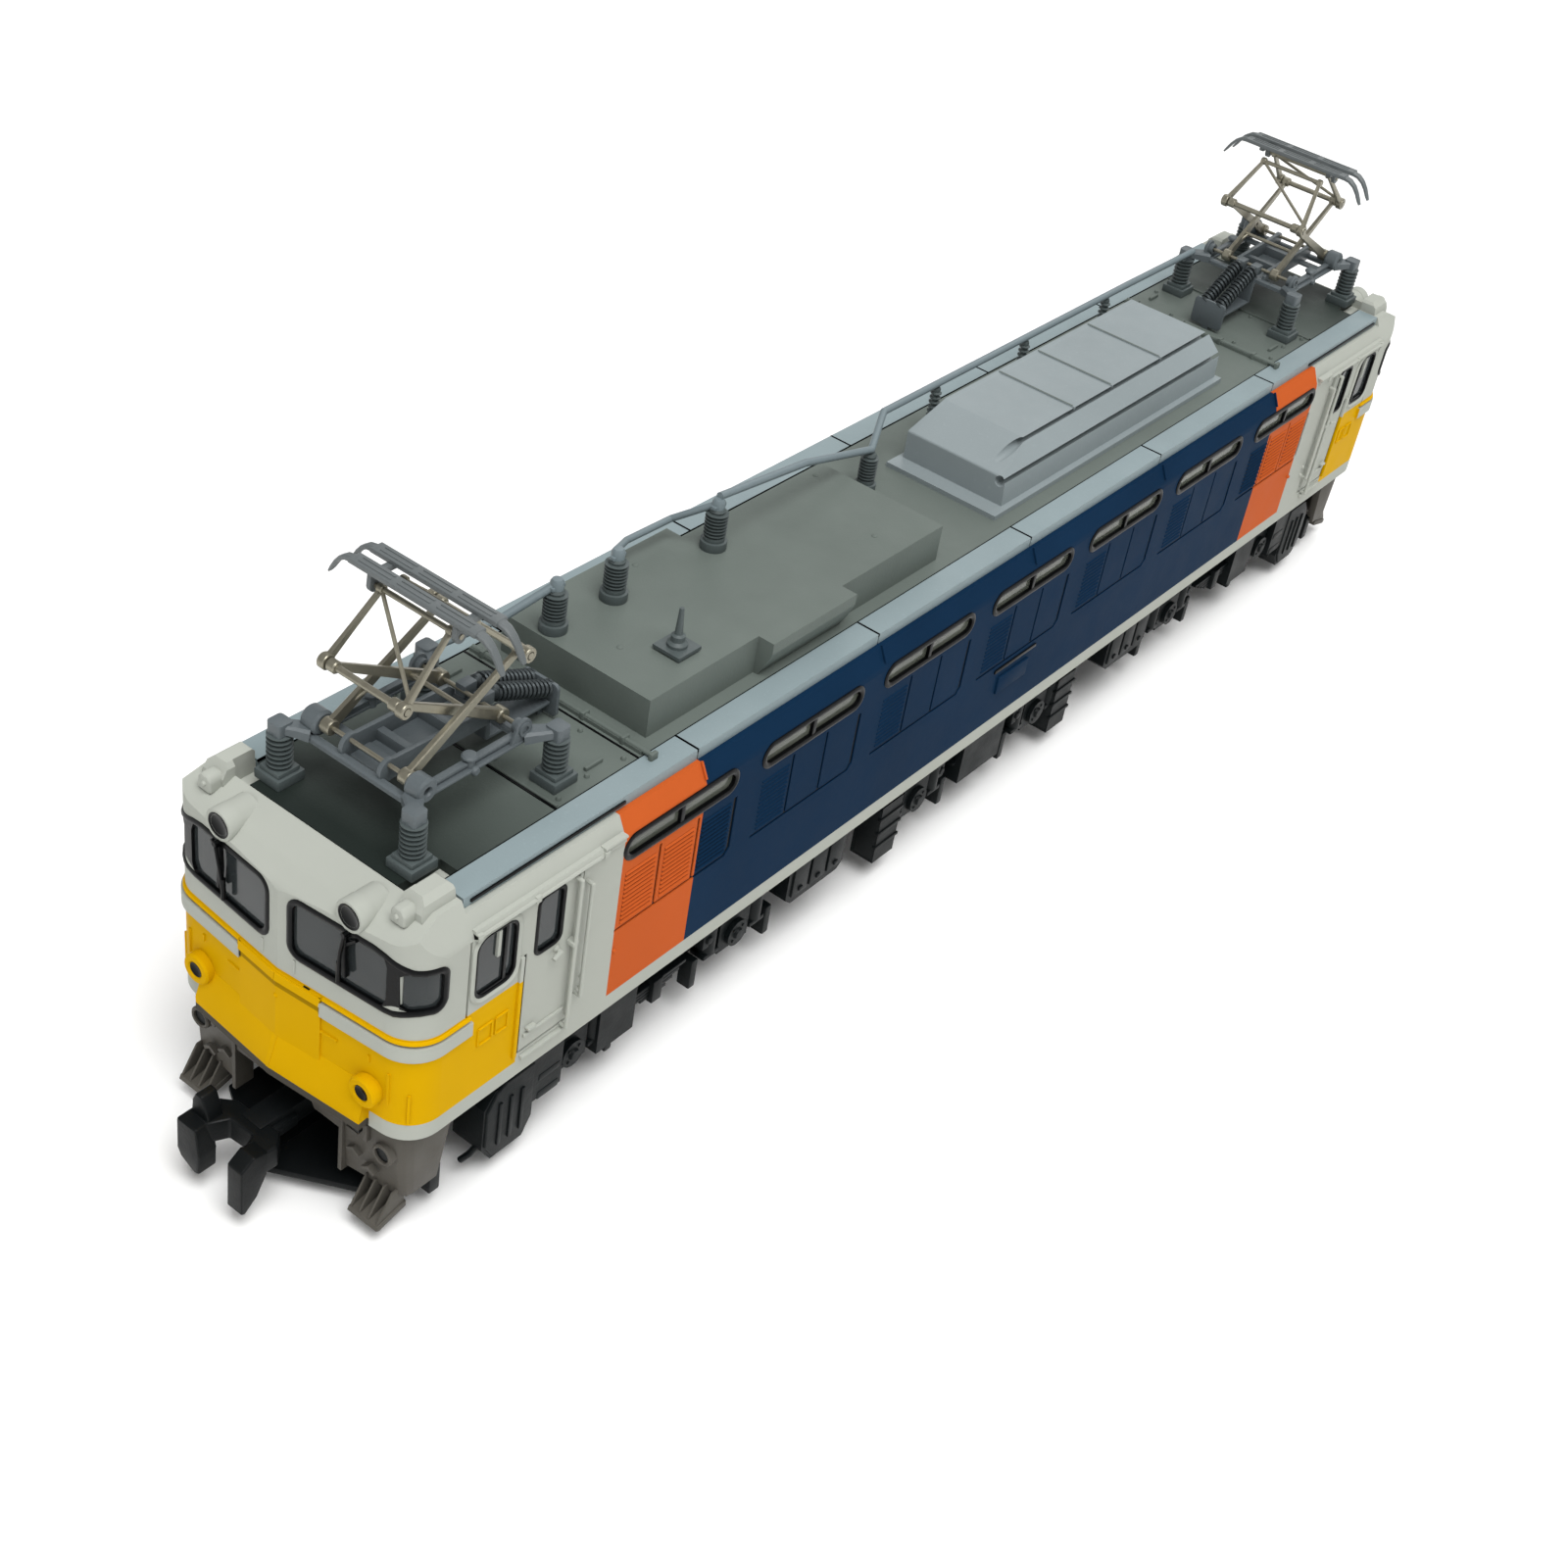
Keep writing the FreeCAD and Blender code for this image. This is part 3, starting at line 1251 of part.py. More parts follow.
def pantograph_base(centre):
    """Grey frame on four insulators, with side rails, cross bars, bearing bosses and sleeves."""
    foot = S.roofHeight.value
    pivot = S.basePivotHeight
    stands = []
    arms = []
    for dx, y in POST_SPOTS:
        x = centre.value + dx
        block = prism("XY_Plane", [
            (x - 0.85, y - 0.45), (x - 0.45, y - 0.85), (x + 0.45, y - 0.85), (x + 0.85, y - 0.45),
            (x + 0.85, y + 0.45), (x + 0.45, y + 0.85), (x - 0.45, y + 0.85), (x - 0.85, y + 0.45),
        ], foot, foot + 1.0)
        post = insulator(x, y, foot + 0.9, 26.3, 0.66)
        rail_x = centre.value + (3.9 if dx > 0 else -4.0)
        arms += both_sides(rod([(x, y, 26.05), (rail_x, RAIL_SIDE, 25.95)], 0.36))
        stands += both_sides(join([block, post]))
    rail = box((centre - 4.3, centre + 4.3), (RAIL_SIDE - 0.35, RAIL_SIDE + 0.25),
               (25.85, pivot - PIVOT_PIN - 0.05))
    frame = both_sides(rail)
    for side in (1, -1):
        x = centre + S.basePivotHalf * side
        boss = cut(cylinder("Y", (x, RAIL_SIDE - 0.4, pivot), 0.75, 0.55),
                   [cylinder("Y", (x, RAIL_SIDE - 0.5, pivot), 1.0, PIVOT_PIN + 0.05)])
        bar = box((x + 0.75 * side - 0.2, x + 0.75 * side + 0.2), (-RAIL_SIDE, RAIL_SIDE),
                  (25.75, 26.1))
        frame += both_sides(boss) + [bar]
    for y in (-0.75, 0.75):
        frame.append(box((centre - 4.45, centre + 4.45), (y - 0.3, y + 0.3), (25.5, 25.95)))
    frame.append(box((centre - 4.4, centre - 4.0), (-0.9, 0.9), (23.9, 25.8)))
    frame.append(box((centre - 9.6, centre - 4.2), (-0.9, 0.9), (23.8, 24.1)))
    frame.append(box((centre - 9.65, centre - 9.4), (-1.3, 1.3), (foot, 25.2)))
    return join([join([join(frame), join(arms)]), join(stands)])


SPRING_TILT = 23.7


def pantograph_spring(centre, side):
    """One of the two raising springs, drawn as its closed outer form, sloping up to the frame."""
    turns = 11
    length = 4.3
    pitch = length / turns
    corners = [(0, 0)]
    for coil in range(turns):
        corners += [(0.32, pitch * coil), (0.52, pitch * (coil + 0.5))]
    corners += [(0.32, length), (0, length)]
    spring = turned("X", (0, 0, 0), corners)
    tilt = FreeCAD.Rotation(FreeCAD.Vector(0, 1, 0), -SPRING_TILT)
    return place(spring, (centre - 9.15, side, 24.8), tilt.multiply(LATHE_TURN["X"]))


def lower_arm(centre, toward, y):
    """Lower arm frame: pivot shaft, two side tubes and the knee tube."""
    pivot = (centre - S.basePivotHalf * toward, S.basePivotHeight)
    knee = (centre + S.kneeHalf * toward, S.kneeHeight)
    shaft = rod([(pivot[0], -RAIL_SIDE - 0.3, pivot[1]), (pivot[0], RAIL_SIDE + 0.3, pivot[1])],
                PIVOT_PIN)
    knee_bar = rod([(knee[0], -y - 0.85, knee[1]), (knee[0], y + 0.85, knee[1])], PIVOT_PIN)
    tubes = [rod([(pivot[0], s * y, pivot[1]), (knee[0], s * y, knee[1])], ARM_RADIUS)
             for s in (1, -1)]
    collars = [cylinder("Y", (pivot[0], s * y - 0.3, pivot[1]), 0.6, 0.4) for s in (1, -1)]
    return join([shaft, knee_bar] + tubes + collars)


def upper_frame(centre, toward, y, reach, tie_half):
    """Upper frame of one arm: eyes on the knee tube, two tubes, a diagonal brace and a top bar."""
    knee = (centre + S.kneeHalf * toward, S.kneeHeight)
    top = (centre + S.headPivotHalf * toward, S.headPivotHeight)
    eye_y = y + 0.58
    start = 0.08

    def along(fraction, side):
        spread = eye_y + (HEAD_SIDE - eye_y) * (fraction - start) / (reach - start)
        return (knee[0] + (top[0] - knee[0]) * fraction, side * spread,
                knee[1] + (top[1] - knee[1]) * fraction)

    pieces = []
    for s in (1, -1):
        eye = cut(cylinder("Y", (knee[0], s * eye_y - 0.22, knee[1]), 0.44, 0.42),
                  [cylinder("Y", (knee[0], s * eye_y - 1, knee[1]), 2, PIVOT_PIN + 0.05)])
        pieces += [eye, rod([along(start, s), along(reach, s)], 0.2)]
    brace = rod([along(start + 0.05, 1), along(reach, -1)], 0.13)
    end = along(reach, 0)
    tie = rod([(end[0], -tie_half, end[2]), (end[0], tie_half, end[2])], 0.2)
    return join(pieces + [brace, tie])


HEAD_HALF = 4.45


def collector_head(centre):
    """Two slotted contact strips with down-curved horns, on brackets over the head pivots."""
    top = S.stripTop
    pieces = []
    for side in (1, -1):
        x = centre + 0.76 * side
        strip = box((x - 0.4, x + 0.4), (-HEAD_HALF, HEAD_HALF), (top - 0.3, top))
        slots = [box((x - 0.12, x + 0.12), (y - 1.0, y + 1.0), (top - 0.12, top + 1))
                 for y in (-2.6, 0, 2.6)]
        pieces.append(cut(strip, slots))
        for s in (1, -1):
            pieces.append(rod([
                (x, s * (HEAD_HALF - 0.15), top - 0.17), (x, s * (HEAD_HALF + 0.45), top - 0.35),
                (x, s * (HEAD_HALF + 1.0), top - 0.8), (x, s * (HEAD_HALF + 1.45), top - 1.45),
                (x, s * (HEAD_HALF + 1.7), top - 1.75),
            ], 0.17))
    for s in (1, -1):
        y = s * (HEAD_SIDE + 0.55)
        pieces.append(box((centre - 0.9, centre + 0.9), (y - 0.2, y + 0.2), (top - 0.65, top - 0.28)))
        hanger_x = centre + S.headPivotHalf
        hanger = cut(box((hanger_x - 0.4, hanger_x + 0.4), (y - 0.15, y + 0.15),
                         (S.headPivotHeight - 0.4, top - 0.28)),
                     [cylinder("Y", (hanger_x, y - 1, S.headPivotHeight), 2, 0.26)])
        pieces.append(hanger)
    return join(pieces)


front_centre = S.pantographCentre
pantograph_parts = [
    ("pantograph_base", pantograph_base(front_centre)),
    ("lower_arm_a", lower_arm(front_centre, 1, ARM_A_SIDE)),
    ("lower_arm_b", lower_arm(front_centre, -1, ARM_B_SIDE)),
    ("upper_frame_a", upper_frame(front_centre, 1, ARM_A_SIDE, 1.0, HEAD_SIDE + 0.75)),
    ("upper_frame_b", upper_frame(front_centre, -1, ARM_B_SIDE, 0.93, HEAD_SIDE)),
    ("collector_head", collector_head(front_centre)),
]
for label, shape in pantograph_parts:
    node(label + "_front", shape)
    node(label + "_rear", front_to_rear(shape))
springs = [pantograph_spring(front_centre, side) for side in (0.65, -0.65)]
node("pantograph_springs", group(springs + [front_to_rear(spring) for spring in springs]))

# ---------------------------------------------------------------------------------------------
# Checks and files
# ---------------------------------------------------------------------------------------------

doc.recompute()
for thing in doc.Objects:
    if "Invalid" in thing.State or "Error" in thing.State:
        raise RuntimeError("%s (%s) failed: %s" % (thing.Name, thing.Label, thing.State))
os.makedirs("parts", exist_ok=True)
for thing in NODES:
    if thing.Shape.isNull() or not thing.Shape.isValid():
        raise RuntimeError("%s has no valid shape" % thing.Label)
for thing in NODES:
    thing.Shape.exportStep("parts/%s.step" % thing.Label)
    bounds = thing.Shape.BoundBox
    print("%-24s solids %2d volume %9.3f  x %.2f..%.2f  y %.2f..%.2f  z %.2f..%.2f" % (
        thing.Label, len(thing.Shape.Solids), thing.Shape.Volume, bounds.XMin, bounds.XMax,
        bounds.YMin, bounds.YMax, bounds.ZMin, bounds.ZMax))
print("nodes", len(NODES))
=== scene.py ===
import json
import math

import bmesh
import bpy
from mathutils import Matrix, Vector

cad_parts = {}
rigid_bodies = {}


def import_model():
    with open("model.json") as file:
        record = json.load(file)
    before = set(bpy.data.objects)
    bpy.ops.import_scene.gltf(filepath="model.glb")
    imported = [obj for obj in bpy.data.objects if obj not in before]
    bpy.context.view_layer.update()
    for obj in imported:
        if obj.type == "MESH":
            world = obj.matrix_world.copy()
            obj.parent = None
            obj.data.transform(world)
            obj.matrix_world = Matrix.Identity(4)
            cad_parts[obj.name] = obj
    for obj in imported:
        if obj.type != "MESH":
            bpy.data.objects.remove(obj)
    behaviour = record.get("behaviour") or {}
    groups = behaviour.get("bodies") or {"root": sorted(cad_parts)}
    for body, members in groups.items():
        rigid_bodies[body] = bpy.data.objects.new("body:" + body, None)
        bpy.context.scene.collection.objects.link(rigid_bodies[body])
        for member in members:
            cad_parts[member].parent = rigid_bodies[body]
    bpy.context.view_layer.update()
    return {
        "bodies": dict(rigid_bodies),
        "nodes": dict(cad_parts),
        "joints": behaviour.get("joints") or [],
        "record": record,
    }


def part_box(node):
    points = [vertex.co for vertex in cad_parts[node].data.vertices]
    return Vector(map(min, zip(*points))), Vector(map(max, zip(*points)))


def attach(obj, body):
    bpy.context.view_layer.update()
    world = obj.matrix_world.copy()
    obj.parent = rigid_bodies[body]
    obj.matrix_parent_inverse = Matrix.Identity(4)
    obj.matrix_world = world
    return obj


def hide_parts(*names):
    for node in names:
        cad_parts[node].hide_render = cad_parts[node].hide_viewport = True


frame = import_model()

MM = 0.001
ROOT = "locomotive"
NODES = frame["nodes"]


def low_high(node):
    """The corners of a CAD node's box in millimetres."""
    low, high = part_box(node)
    return low / MM, high / MM


# ------------ Driving places in millimetres ------------

# They come from the frame, or are set out from the body's floor and its flat sides. NOSE is the
# tip of the cab's swept front, which falls back by SWEEP at corners of radius CORNER, and HALF is
# the half width of the body between its raised bands.

SHELL_LOW, SHELL_HIGH = low_high("body_shell")
BAND_RELIEF = 0.2
LIP_OUT = 0.64
NOSE = SHELL_HIGH.x - LIP_OUT
HALF = SHELL_HIGH.y - BAND_RELIEF
SWEEP = 0.85
CORNER = 2.2
FLOOR = SHELL_LOW.z
STRIP_HIGH = low_high("roof_side_strips")[1]
ROOF = STRIP_HIGH.z - 0.05
HOUSING_TOP = low_high("roof_panel")[1].z

# Side windows, and the panelled bay below each, with slats in some of its three panels.

WINDOW_PITCH = 12.25
WINDOW_HALF = 4.85
WINDOW_LOW = FLOOR + 11.2
WINDOW_HIGH = FLOOR + 12.7
BAY_LOW = FLOOR + 6.25
BAY_HIGH = FLOOR + 10.7
BAY_PANEL = 3.35
SLAT_ROWS = 12
LOUVRE_LOW = BAY_LOW + 0.35
LOUVRE_PITCH = (BAY_HIGH - BAY_LOW - 0.9) / (SLAT_ROWS - 1)

# Edges of the livery: colours that start at an absolute x or y, and heights of bands.

ORANGE_START = 34.78
WHITE_START = 41.75
YELLOW_START = 49.3
YELLOW_TOP = FLOOR + 7.45
TRIM_START = 3.1
BAR_LOW = FLOOR + 5.99
BAR_HIGH = FLOOR + 6.97
SILL_TOP = FLOOR + 1.13
LIP_HALF = 6.52

AXLE_SPOTS = [sum(low_high("wheelset_%d" % number), Vector()).x / 2 for number in range(1, 7)]
BOGIES = {"front": AXLE_SPOTS[0:2], "middle": AXLE_SPOTS[2:4], "rear": AXLE_SPOTS[4:6]}

# ------------ Node materials ------------


class Shader:
    """A principled material with helpers for its procedural inputs."""

    def __init__(self, name):
        self.material = bpy.data.materials.new(name)
        self.material.use_nodes = True
        self.tree = self.material.node_tree
        self.tree.nodes.clear()
        self.out = self.tree.nodes.new("ShaderNodeOutputMaterial")
        self.surface = self.tree.nodes.new("ShaderNodeBsdfPrincipled")
        self.link(self.surface.outputs["BSDF"], self.out.inputs["Surface"])
        self.place = self.tree.nodes.new("ShaderNodeTexCoord").outputs["Object"]

    def link(self, source, target):
        """Joins an output to an input."""
        self.tree.links.new(source, target)

    def feed(self, value, socket):
        """Gives an input another node's output, or a plain value."""
        if isinstance(value, bpy.types.NodeSocket):
            self.link(value, socket)
        else:
            socket.default_value = value

    def math(self, operation, first, second=0.0):
        node = self.tree.nodes.new("ShaderNodeMath")
        node.operation = operation
        self.feed(first, node.inputs[0])
        self.feed(second, node.inputs[1])
        return node.outputs[0]

    def above(self, value, limit):
        """Mask that is one where the value is over the limit."""
        return self.math("GREATER_THAN", value, limit)

    def inside(self, value, low, high):
        """Mask that is one between two limits."""
        return self.both(self.above(value, low), self.above(high, value))

    def repeat(self, value, start, pitch):
        """How far a value is through its repeat, from zero to one."""
        return self.math("FRACT", self.math("DIVIDE", self.math("SUBTRACT", value, start), pitch))

    def both(self, *tests):
        """Mask that is one where all the masks are."""
        result = tests[0]
        for test in tests[1:]:
            result = self.math("MULTIPLY", result, test)
        return result

    def mix(self, share, first, second):
        node = self.tree.nodes.new("ShaderNodeMix")
        node.data_type = "RGBA"
        self.feed(share, node.inputs[0])
        self.feed(first, node.inputs[6])
        self.feed(second, node.inputs[7])
        return node.outputs[2]

    def noise(self, per_mm, detail=4.0, roughness=0.55):
        mapping = self.tree.nodes.new("ShaderNodeMapping")
        self.link(self.place, mapping.inputs["Vector"])
        mapping.inputs["Scale"].default_value = [per_mm / MM] * 3
        node = self.tree.nodes.new("ShaderNodeTexNoise")
        self.link(mapping.outputs[0], node.inputs["Vector"])
        node.inputs["Scale"].default_value = 1.0
        node.inputs["Detail"].default_value = detail
        node.inputs["Roughness"].default_value = roughness
        return node.outputs["Fac"]

    def span(self, value, low, high, out_low, out_high):
        """Stretches one range of values onto another."""
        node = self.tree.nodes.new("ShaderNodeMapRange")
        self.feed(value, node.inputs[0])
        for index, amount in enumerate((low, high, out_low, out_high), 1):
            node.inputs[index].default_value = amount
        return node.outputs[0]

    def axes(self):
        """Absolute x, absolute y and z in millimetres."""
        node = self.tree.nodes.new("ShaderNodeSeparateXYZ")
        self.link(self.place, node.inputs[0])
        x, y, z = [self.math("MULTIPLY", output, 1 / MM) for output in node.outputs]
        return self.math("ABSOLUTE", x), self.math("ABSOLUTE", y), z

    def bump(self, *layers):
        """Layers of (height, depth in mm), stacked into one normal."""
        normal = None
        for height, depth in layers:
            node = self.tree.nodes.new("ShaderNodeBump")
            node.inputs["Strength"].default_value = 1.0
            node.inputs["Distance"].default_value = depth * MM
            self.feed(height, node.inputs["Height"])
            if normal is not None:
                self.link(normal, node.inputs["Normal"])
            normal = node.outputs[0]
        self.link(normal, self.surface.inputs["Normal"])

    def set(self, **values):
        """Sets the surface's inputs, named with underscores for spaces."""
        for name, value in values.items():
            self.feed(value, self.surface.inputs[name.replace("_", " ")])


def srgb(red, green, blue):
    """Linear colour from eight-bit screen values."""
    def linear(value):
        value /= 255
        return value / 12.92 if value <= 0.04045 else ((value + 0.055) / 1.055) ** 2.4
    return (linear(red), linear(green), linear(blue), 1.0)


def shade(colour, amount):
    """A colour made lighter or darker by a factor."""
    return tuple(min(1.0, part * amount) for part in colour[:3]) + (1.0,)


def mottled(shader, colour, spread, per_mm):
    """A colour that drifts lighter and darker over the surface."""
    cloud = shader.span(shader.noise(per_mm, 3.0), 0.3, 0.7, 0.0, 1.0)
    return shader.mix(cloud, shade(colour, 1 - spread), shade(colour, 1 + spread))


def moulded(name, colour, rough=0.5, spread=0.06, grain=0.012, specular=0.5):
    """Moulded plastic or sprayed paint: slow colour drift, uneven sheen, fine grain."""
    shader = Shader(name)
    tone = mottled(shader, colour, spread, 0.12)
    speck = shader.span(shader.noise(3.5, 2.0), 0.62, 0.75, 0.0, 0.25)
    shader.set(Base_Color=shader.mix(speck, tone, shade(colour, 1.25)))
    sheen = shader.noise(0.5, 4.0)
    shader.set(Roughness=shader.span(sheen, 0.3, 0.7, rough - 0.06, rough + 0.08))
    shader.set(Specular_IOR_Level=specular)
    shader.bump((shader.noise(6.0, 3.0), grain), (shader.noise(0.35, 2.0), grain * 1.2))
    return shader.material


def metal(name, colour, rough, spread=0.1, metallic=1.0):
    """Turned, drawn or etched metal with fine scratches."""
    shader = Shader(name)
    shader.set(Base_Color=mottled(shader, colour, spread, 0.5))
    scratch = shader.noise(4.0, 3.0, 0.6)
    shader.set(Roughness=shader.span(scratch, 0.3, 0.7, rough - 0.08, rough + 0.12))
    shader.set(Metallic=metallic)
    shader.bump((scratch, 0.006))
    return shader.material


WHITE = srgb(166, 169, 161)
YELLOW = srgb(202, 156, 4)
ORANGE = srgb(184, 86, 39)
BLUE = srgb(16, 40, 64)


def louvre_shadow(shader, ax, ay, z):
    """Mask of the painted shadow lines below the slats of the three panels in each end bay."""
    start = 3 * WINDOW_PITCH - 1.5 * BAY_PANEL
    foot = LOUVRE_LOW - 0.08
    return shader.both(shader.inside(ay, HALF - 0.02, HALF + 0.03),
                       shader.inside(ax, start, start + 3 * BAY_PANEL),
                       shader.inside(shader.repeat(ax, start, BAY_PANEL), 0.11, 0.88),
                       shader.inside(z, foot, BAY_HIGH - 0.45),
                       shader.above(shader.repeat(z, foot, LOUVRE_PITCH), 0.45))


def body_paint():
    """Livery by place: white cab, yellow nose, orange panel, dark blue middle, white sill, with painted
    shadow under the trim ledge, across the sunk middle of the nose and below the louvre slats.
    """
    shader = Shader("livery_paint")
    above, inside, both, mix = shader.above, shader.inside, shader.both, shader.mix
    ax, ay, z = shader.axes()
    white = mottled(shader, WHITE, 0.02, 0.15)
    orange = above(ax, ORANGE_START)
    livery = mix(orange, mottled(shader, BLUE, 0.10, 0.1), mottled(shader, ORANGE, 0.04, 0.1))
    livery = mix(above(ax, WHITE_START), livery, white)
    nose = both(above(ax, YELLOW_START), above(YELLOW_TOP, z))
    livery = mix(nose, livery, mottled(shader, YELLOW, 0.03, 0.12))
    trim = above(ay, TRIM_START)
    livery = mix(both(trim, above(ax, 53.2), inside(z, BAR_LOW, BAR_HIGH)), livery, white)
    lip = both(above(LIP_HALF, ay), above(ax, 56.0))
    sill = both(above(SILL_TOP, z), shader.math("SUBTRACT", 1.0, lip))
    livery = mix(sill, livery, white)
    # Painted shadow: darker yellow in a band under the ledge over the white bars, and in a band across the
    # sunk middle of the nose.
    step = both(above(ax, 53.6), trim, inside(z, BAR_HIGH, BAR_HIGH + 0.17))
    nose_middle_shadow = both(above(ax, 55.0), above(TRIM_START, ay), inside(z, FLOOR + 6.2, FLOOR + 6.62))
    livery = mix(shader.math("MAXIMUM", step, nose_middle_shadow), livery, shade(YELLOW, 0.55))
    underside = both(lip, above(ax, 57.2), above(FLOOR + 0.5, z))
    livery = mix(underside, livery, mottled(shader, srgb(74, 71, 65), 0.08, 0.1))
    # Painted shadow under each louvre slat: darkened blue, or darkened orange in the orange panel.
    louvre_shadow_tone = mix(orange, shade(BLUE, 0.35), shade(ORANGE, 0.45))
    shader.set(Base_Color=mix(louvre_shadow(shader, ax, ay, z), livery, louvre_shadow_tone))
    shader.set(Roughness=shader.span(shader.noise(0.4, 4.0), 0.3, 0.7, 0.3, 0.42))
    shader.set(Specular_IOR_Level=0.008)
    shader.bump((shader.noise(2.2, 3.0), 0.006), (shader.noise(0.25, 2.0), 0.012))
    return shader.material


def roof_paint():
    """Dark grey roof with a painted sheen: lighter over the middle and darker towards the cabs."""
    shader = Shader("roof_grey")
    ax, _, _ = shader.axes()
    tone = mottled(shader, srgb(96, 104, 99), 0.06, 0.12)
    dark = mottled(shader, srgb(30, 37, 34), 0.06, 0.12)
    # Painted sheen: lighter over the middle of the roof, blending to darker over the cabs, as light
    # reflected off the roof would look.
    shader.set(Base_Color=shader.mix(shader.span(ax, 40.0, 54.0, 0.0, 1.0), tone, dark))
    shader.set(Roughness=shader.span(shader.noise(0.5, 4.0), 0.3, 0.7, 0.46, 0.6))
    shader.set(Specular_IOR_Level=0.14)
    shader.bump((shader.noise(6.0, 3.0), 0.012), (shader.noise(0.35, 2.0), 0.014))
    return shader.material


def window_glass():
    """Clear moulding seen against a dark inside, darker in the cabs, with faint waviness."""
    shader = Shader("clear_glazing")
    ax, _, _ = shader.axes()
    side_tone = mottled(shader, srgb(104, 108, 98), 0.18, 0.25)
    cab_tone = mottled(shader, srgb(56, 61, 62), 0.18, 0.25)
    shader.set(Base_Color=shader.mix(shader.above(ax, 42.0), side_tone, cab_tone))
    shader.set(Roughness=shader.span(shader.noise(0.6, 3.0), 0.3, 0.7, 0.05, 0.16))
    shader.set(Transmission_Weight=0.35)
    shader.set(IOR=1.4)
    shader.set(Specular_IOR_Level=0.35)
    shader.bump((shader.noise(0.5, 2.0), 0.01))
    return shader.material


PAINT = body_paint()
GLASS = window_glass()
ROOF_GREY = roof_paint()
STRIP_GREY = moulded("strip_grey", srgb(128, 142, 145), 0.45, 0.04, specular=0.18)
COVER_GREY = moulded("cover_grey", srgb(130, 139, 141), 0.42, 0.04, specular=0.18)
INSULATOR_GREY = moulded("insulator_grey", srgb(74, 82, 82), 0.42, 0.08, specular=0.25)
CONDUIT_GREY = moulded("conduit_grey", srgb(108, 120, 124), 0.42, 0.05, specular=0.25)
FRAME_GREY = moulded("pantograph_grey", srgb(86, 93, 96), 0.4, 0.08, specular=0.3)
HEAD_GREY = moulded("head_grey", srgb(94, 99, 100), 0.4, 0.08, specular=0.3)
ARM_METAL = metal("arm_metal", srgb(140, 136, 121), 0.36, 0.05, metallic=0.75)
SKIRT_GREY = moulded("skirt_grey", srgb(80, 77, 71), 0.5, 0.08, specular=0.15)
BLACK = moulded("black_plastic", srgb(13, 16, 17), 0.42, 0.12, specular=0.14)
BOGIE_BLACK = moulded("bogie_black", srgb(12, 17, 18), 0.46, 0.14, specular=0.14)
# Black for rubber seals and wipers, also used for the strips of painted shadow on the nose, in the door's
# shut line and round the side panels.
SEAL_AND_SHADOW_BLACK = moulded("seal_and_shadow_black", srgb(6, 7, 8), 0.34, 0.1, specular=0.12)
SPRING_STEEL = metal("spring_steel", srgb(70, 76, 78), 0.34, metallic=0.7)
CAST = metal("zinc_casting", srgb(120, 122, 124), 0.45, metallic=0.8)
STEEL = metal("bright_steel", srgb(176, 178, 180), 0.28)
WHEEL = metal("wheel_metal", srgb(92, 90, 88), 0.34)
BRASS = metal("turned_brass", srgb(190, 158, 92), 0.26)
MAGNET = metal("magnet_black", srgb(62, 62, 64), 0.5, metallic=0.4)
ACETAL = moulded("white_acetal", srgb(214, 210, 196), 0.4, 0.03)
BOARD = moulded("green_board", srgb(24, 84, 48), 0.35, 0.08)
LENS = moulded("lens_black", srgb(5, 6, 7), 0.2, 0.1, 0.002, 0.12)

NODE_LOOKS = {
    PAINT: ["body_shell", "handrails"],
    ROOF_GREY: ["roof_panel"],
    STRIP_GREY: ["roof_side_strips"],
    COVER_GREY: ["ventilator_cover"],
    INSULATOR_GREY: ["roof_insulators", "radio_antenna"],
    CONDUIT_GREY: ["roof_conduit"],
    GLASS: ["cab_glazing_front", "cab_glazing_rear", "side_glazing", "light_guides"],
    BOARD: ["light_boards"],
    SEAL_AND_SHADOW_BLACK: ["windscreen_wipers"],
    BLACK: ["coupler_front", "coupler_rear", "motor_brush_holder", "bogie_keeper_front",
            "bogie_keeper_middle", "bogie_keeper_rear"],
    SKIRT_GREY: ["end_skirt_front", "end_skirt_rear"],
    BOGIE_BLACK: ["underfloor_boxes", "bogie_frame_front", "bogie_frame_middle",
                  "bogie_frame_rear"],
    CAST: ["chassis_left", "chassis_right"],
    STEEL: ["chassis_screws", "motor_case", "motor_rotor", "coupler_spring_front",
            "coupler_spring_rear", "pantograph_springs"],
    MAGNET: ["motor_magnets"],
    BRASS: ["flywheels", "shaft_bearings", "pickup_strips"],
    ACETAL: ["worm_front", "worm_rear", "worm_gear_front", "worm_gear_rear"],
    WHEEL: ["wheelset_%d" % number for number in range(1, 7)],
    FRAME_GREY: ["pantograph_base_front", "pantograph_base_rear"],
    HEAD_GREY: ["collector_head_front", "collector_head_rear"],
    ARM_METAL: [part + end for part in ("lower_arm_a", "lower_arm_b", "upper_frame_a",
                                        "upper_frame_b") for end in ("_front", "_rear")],
}
for material, names in NODE_LOOKS.items():
    for name in names:
        slots = NODES[name].data.materials
        slots.clear()
        slots.append(material)

# ------------ Modelling helpers ------------

PLANES = {"xy": lambda a, b, level: (a, b, level),
          "xz": lambda a, b, level: (a, level, b),
          "yz": lambda a, b, level: (level, a, b)}
UP = Vector((0, 0, 1))
LEFT = Vector((0, 1, 0))


def ring(radius, sides=12):
    """A round section for a sweep."""
    turns = [2 * math.pi * step / sides for step in range(sides)]
    return [(radius * math.cos(turn), radius * math.sin(turn)) for turn in turns]


def plate(half, low, high):
    """A rectangular section with broken edges for a sweep."""
    edge = min(half, (high - low) / 2) * 0.35
    return [(-half, low), (half, low), (half, high - edge), (half - edge, high),
            (edge - half, high), (-half, high - edge)]


def around(middle, half):
    """The two ends of a stretch, given its middle."""
    return (middle - half, middle + half)


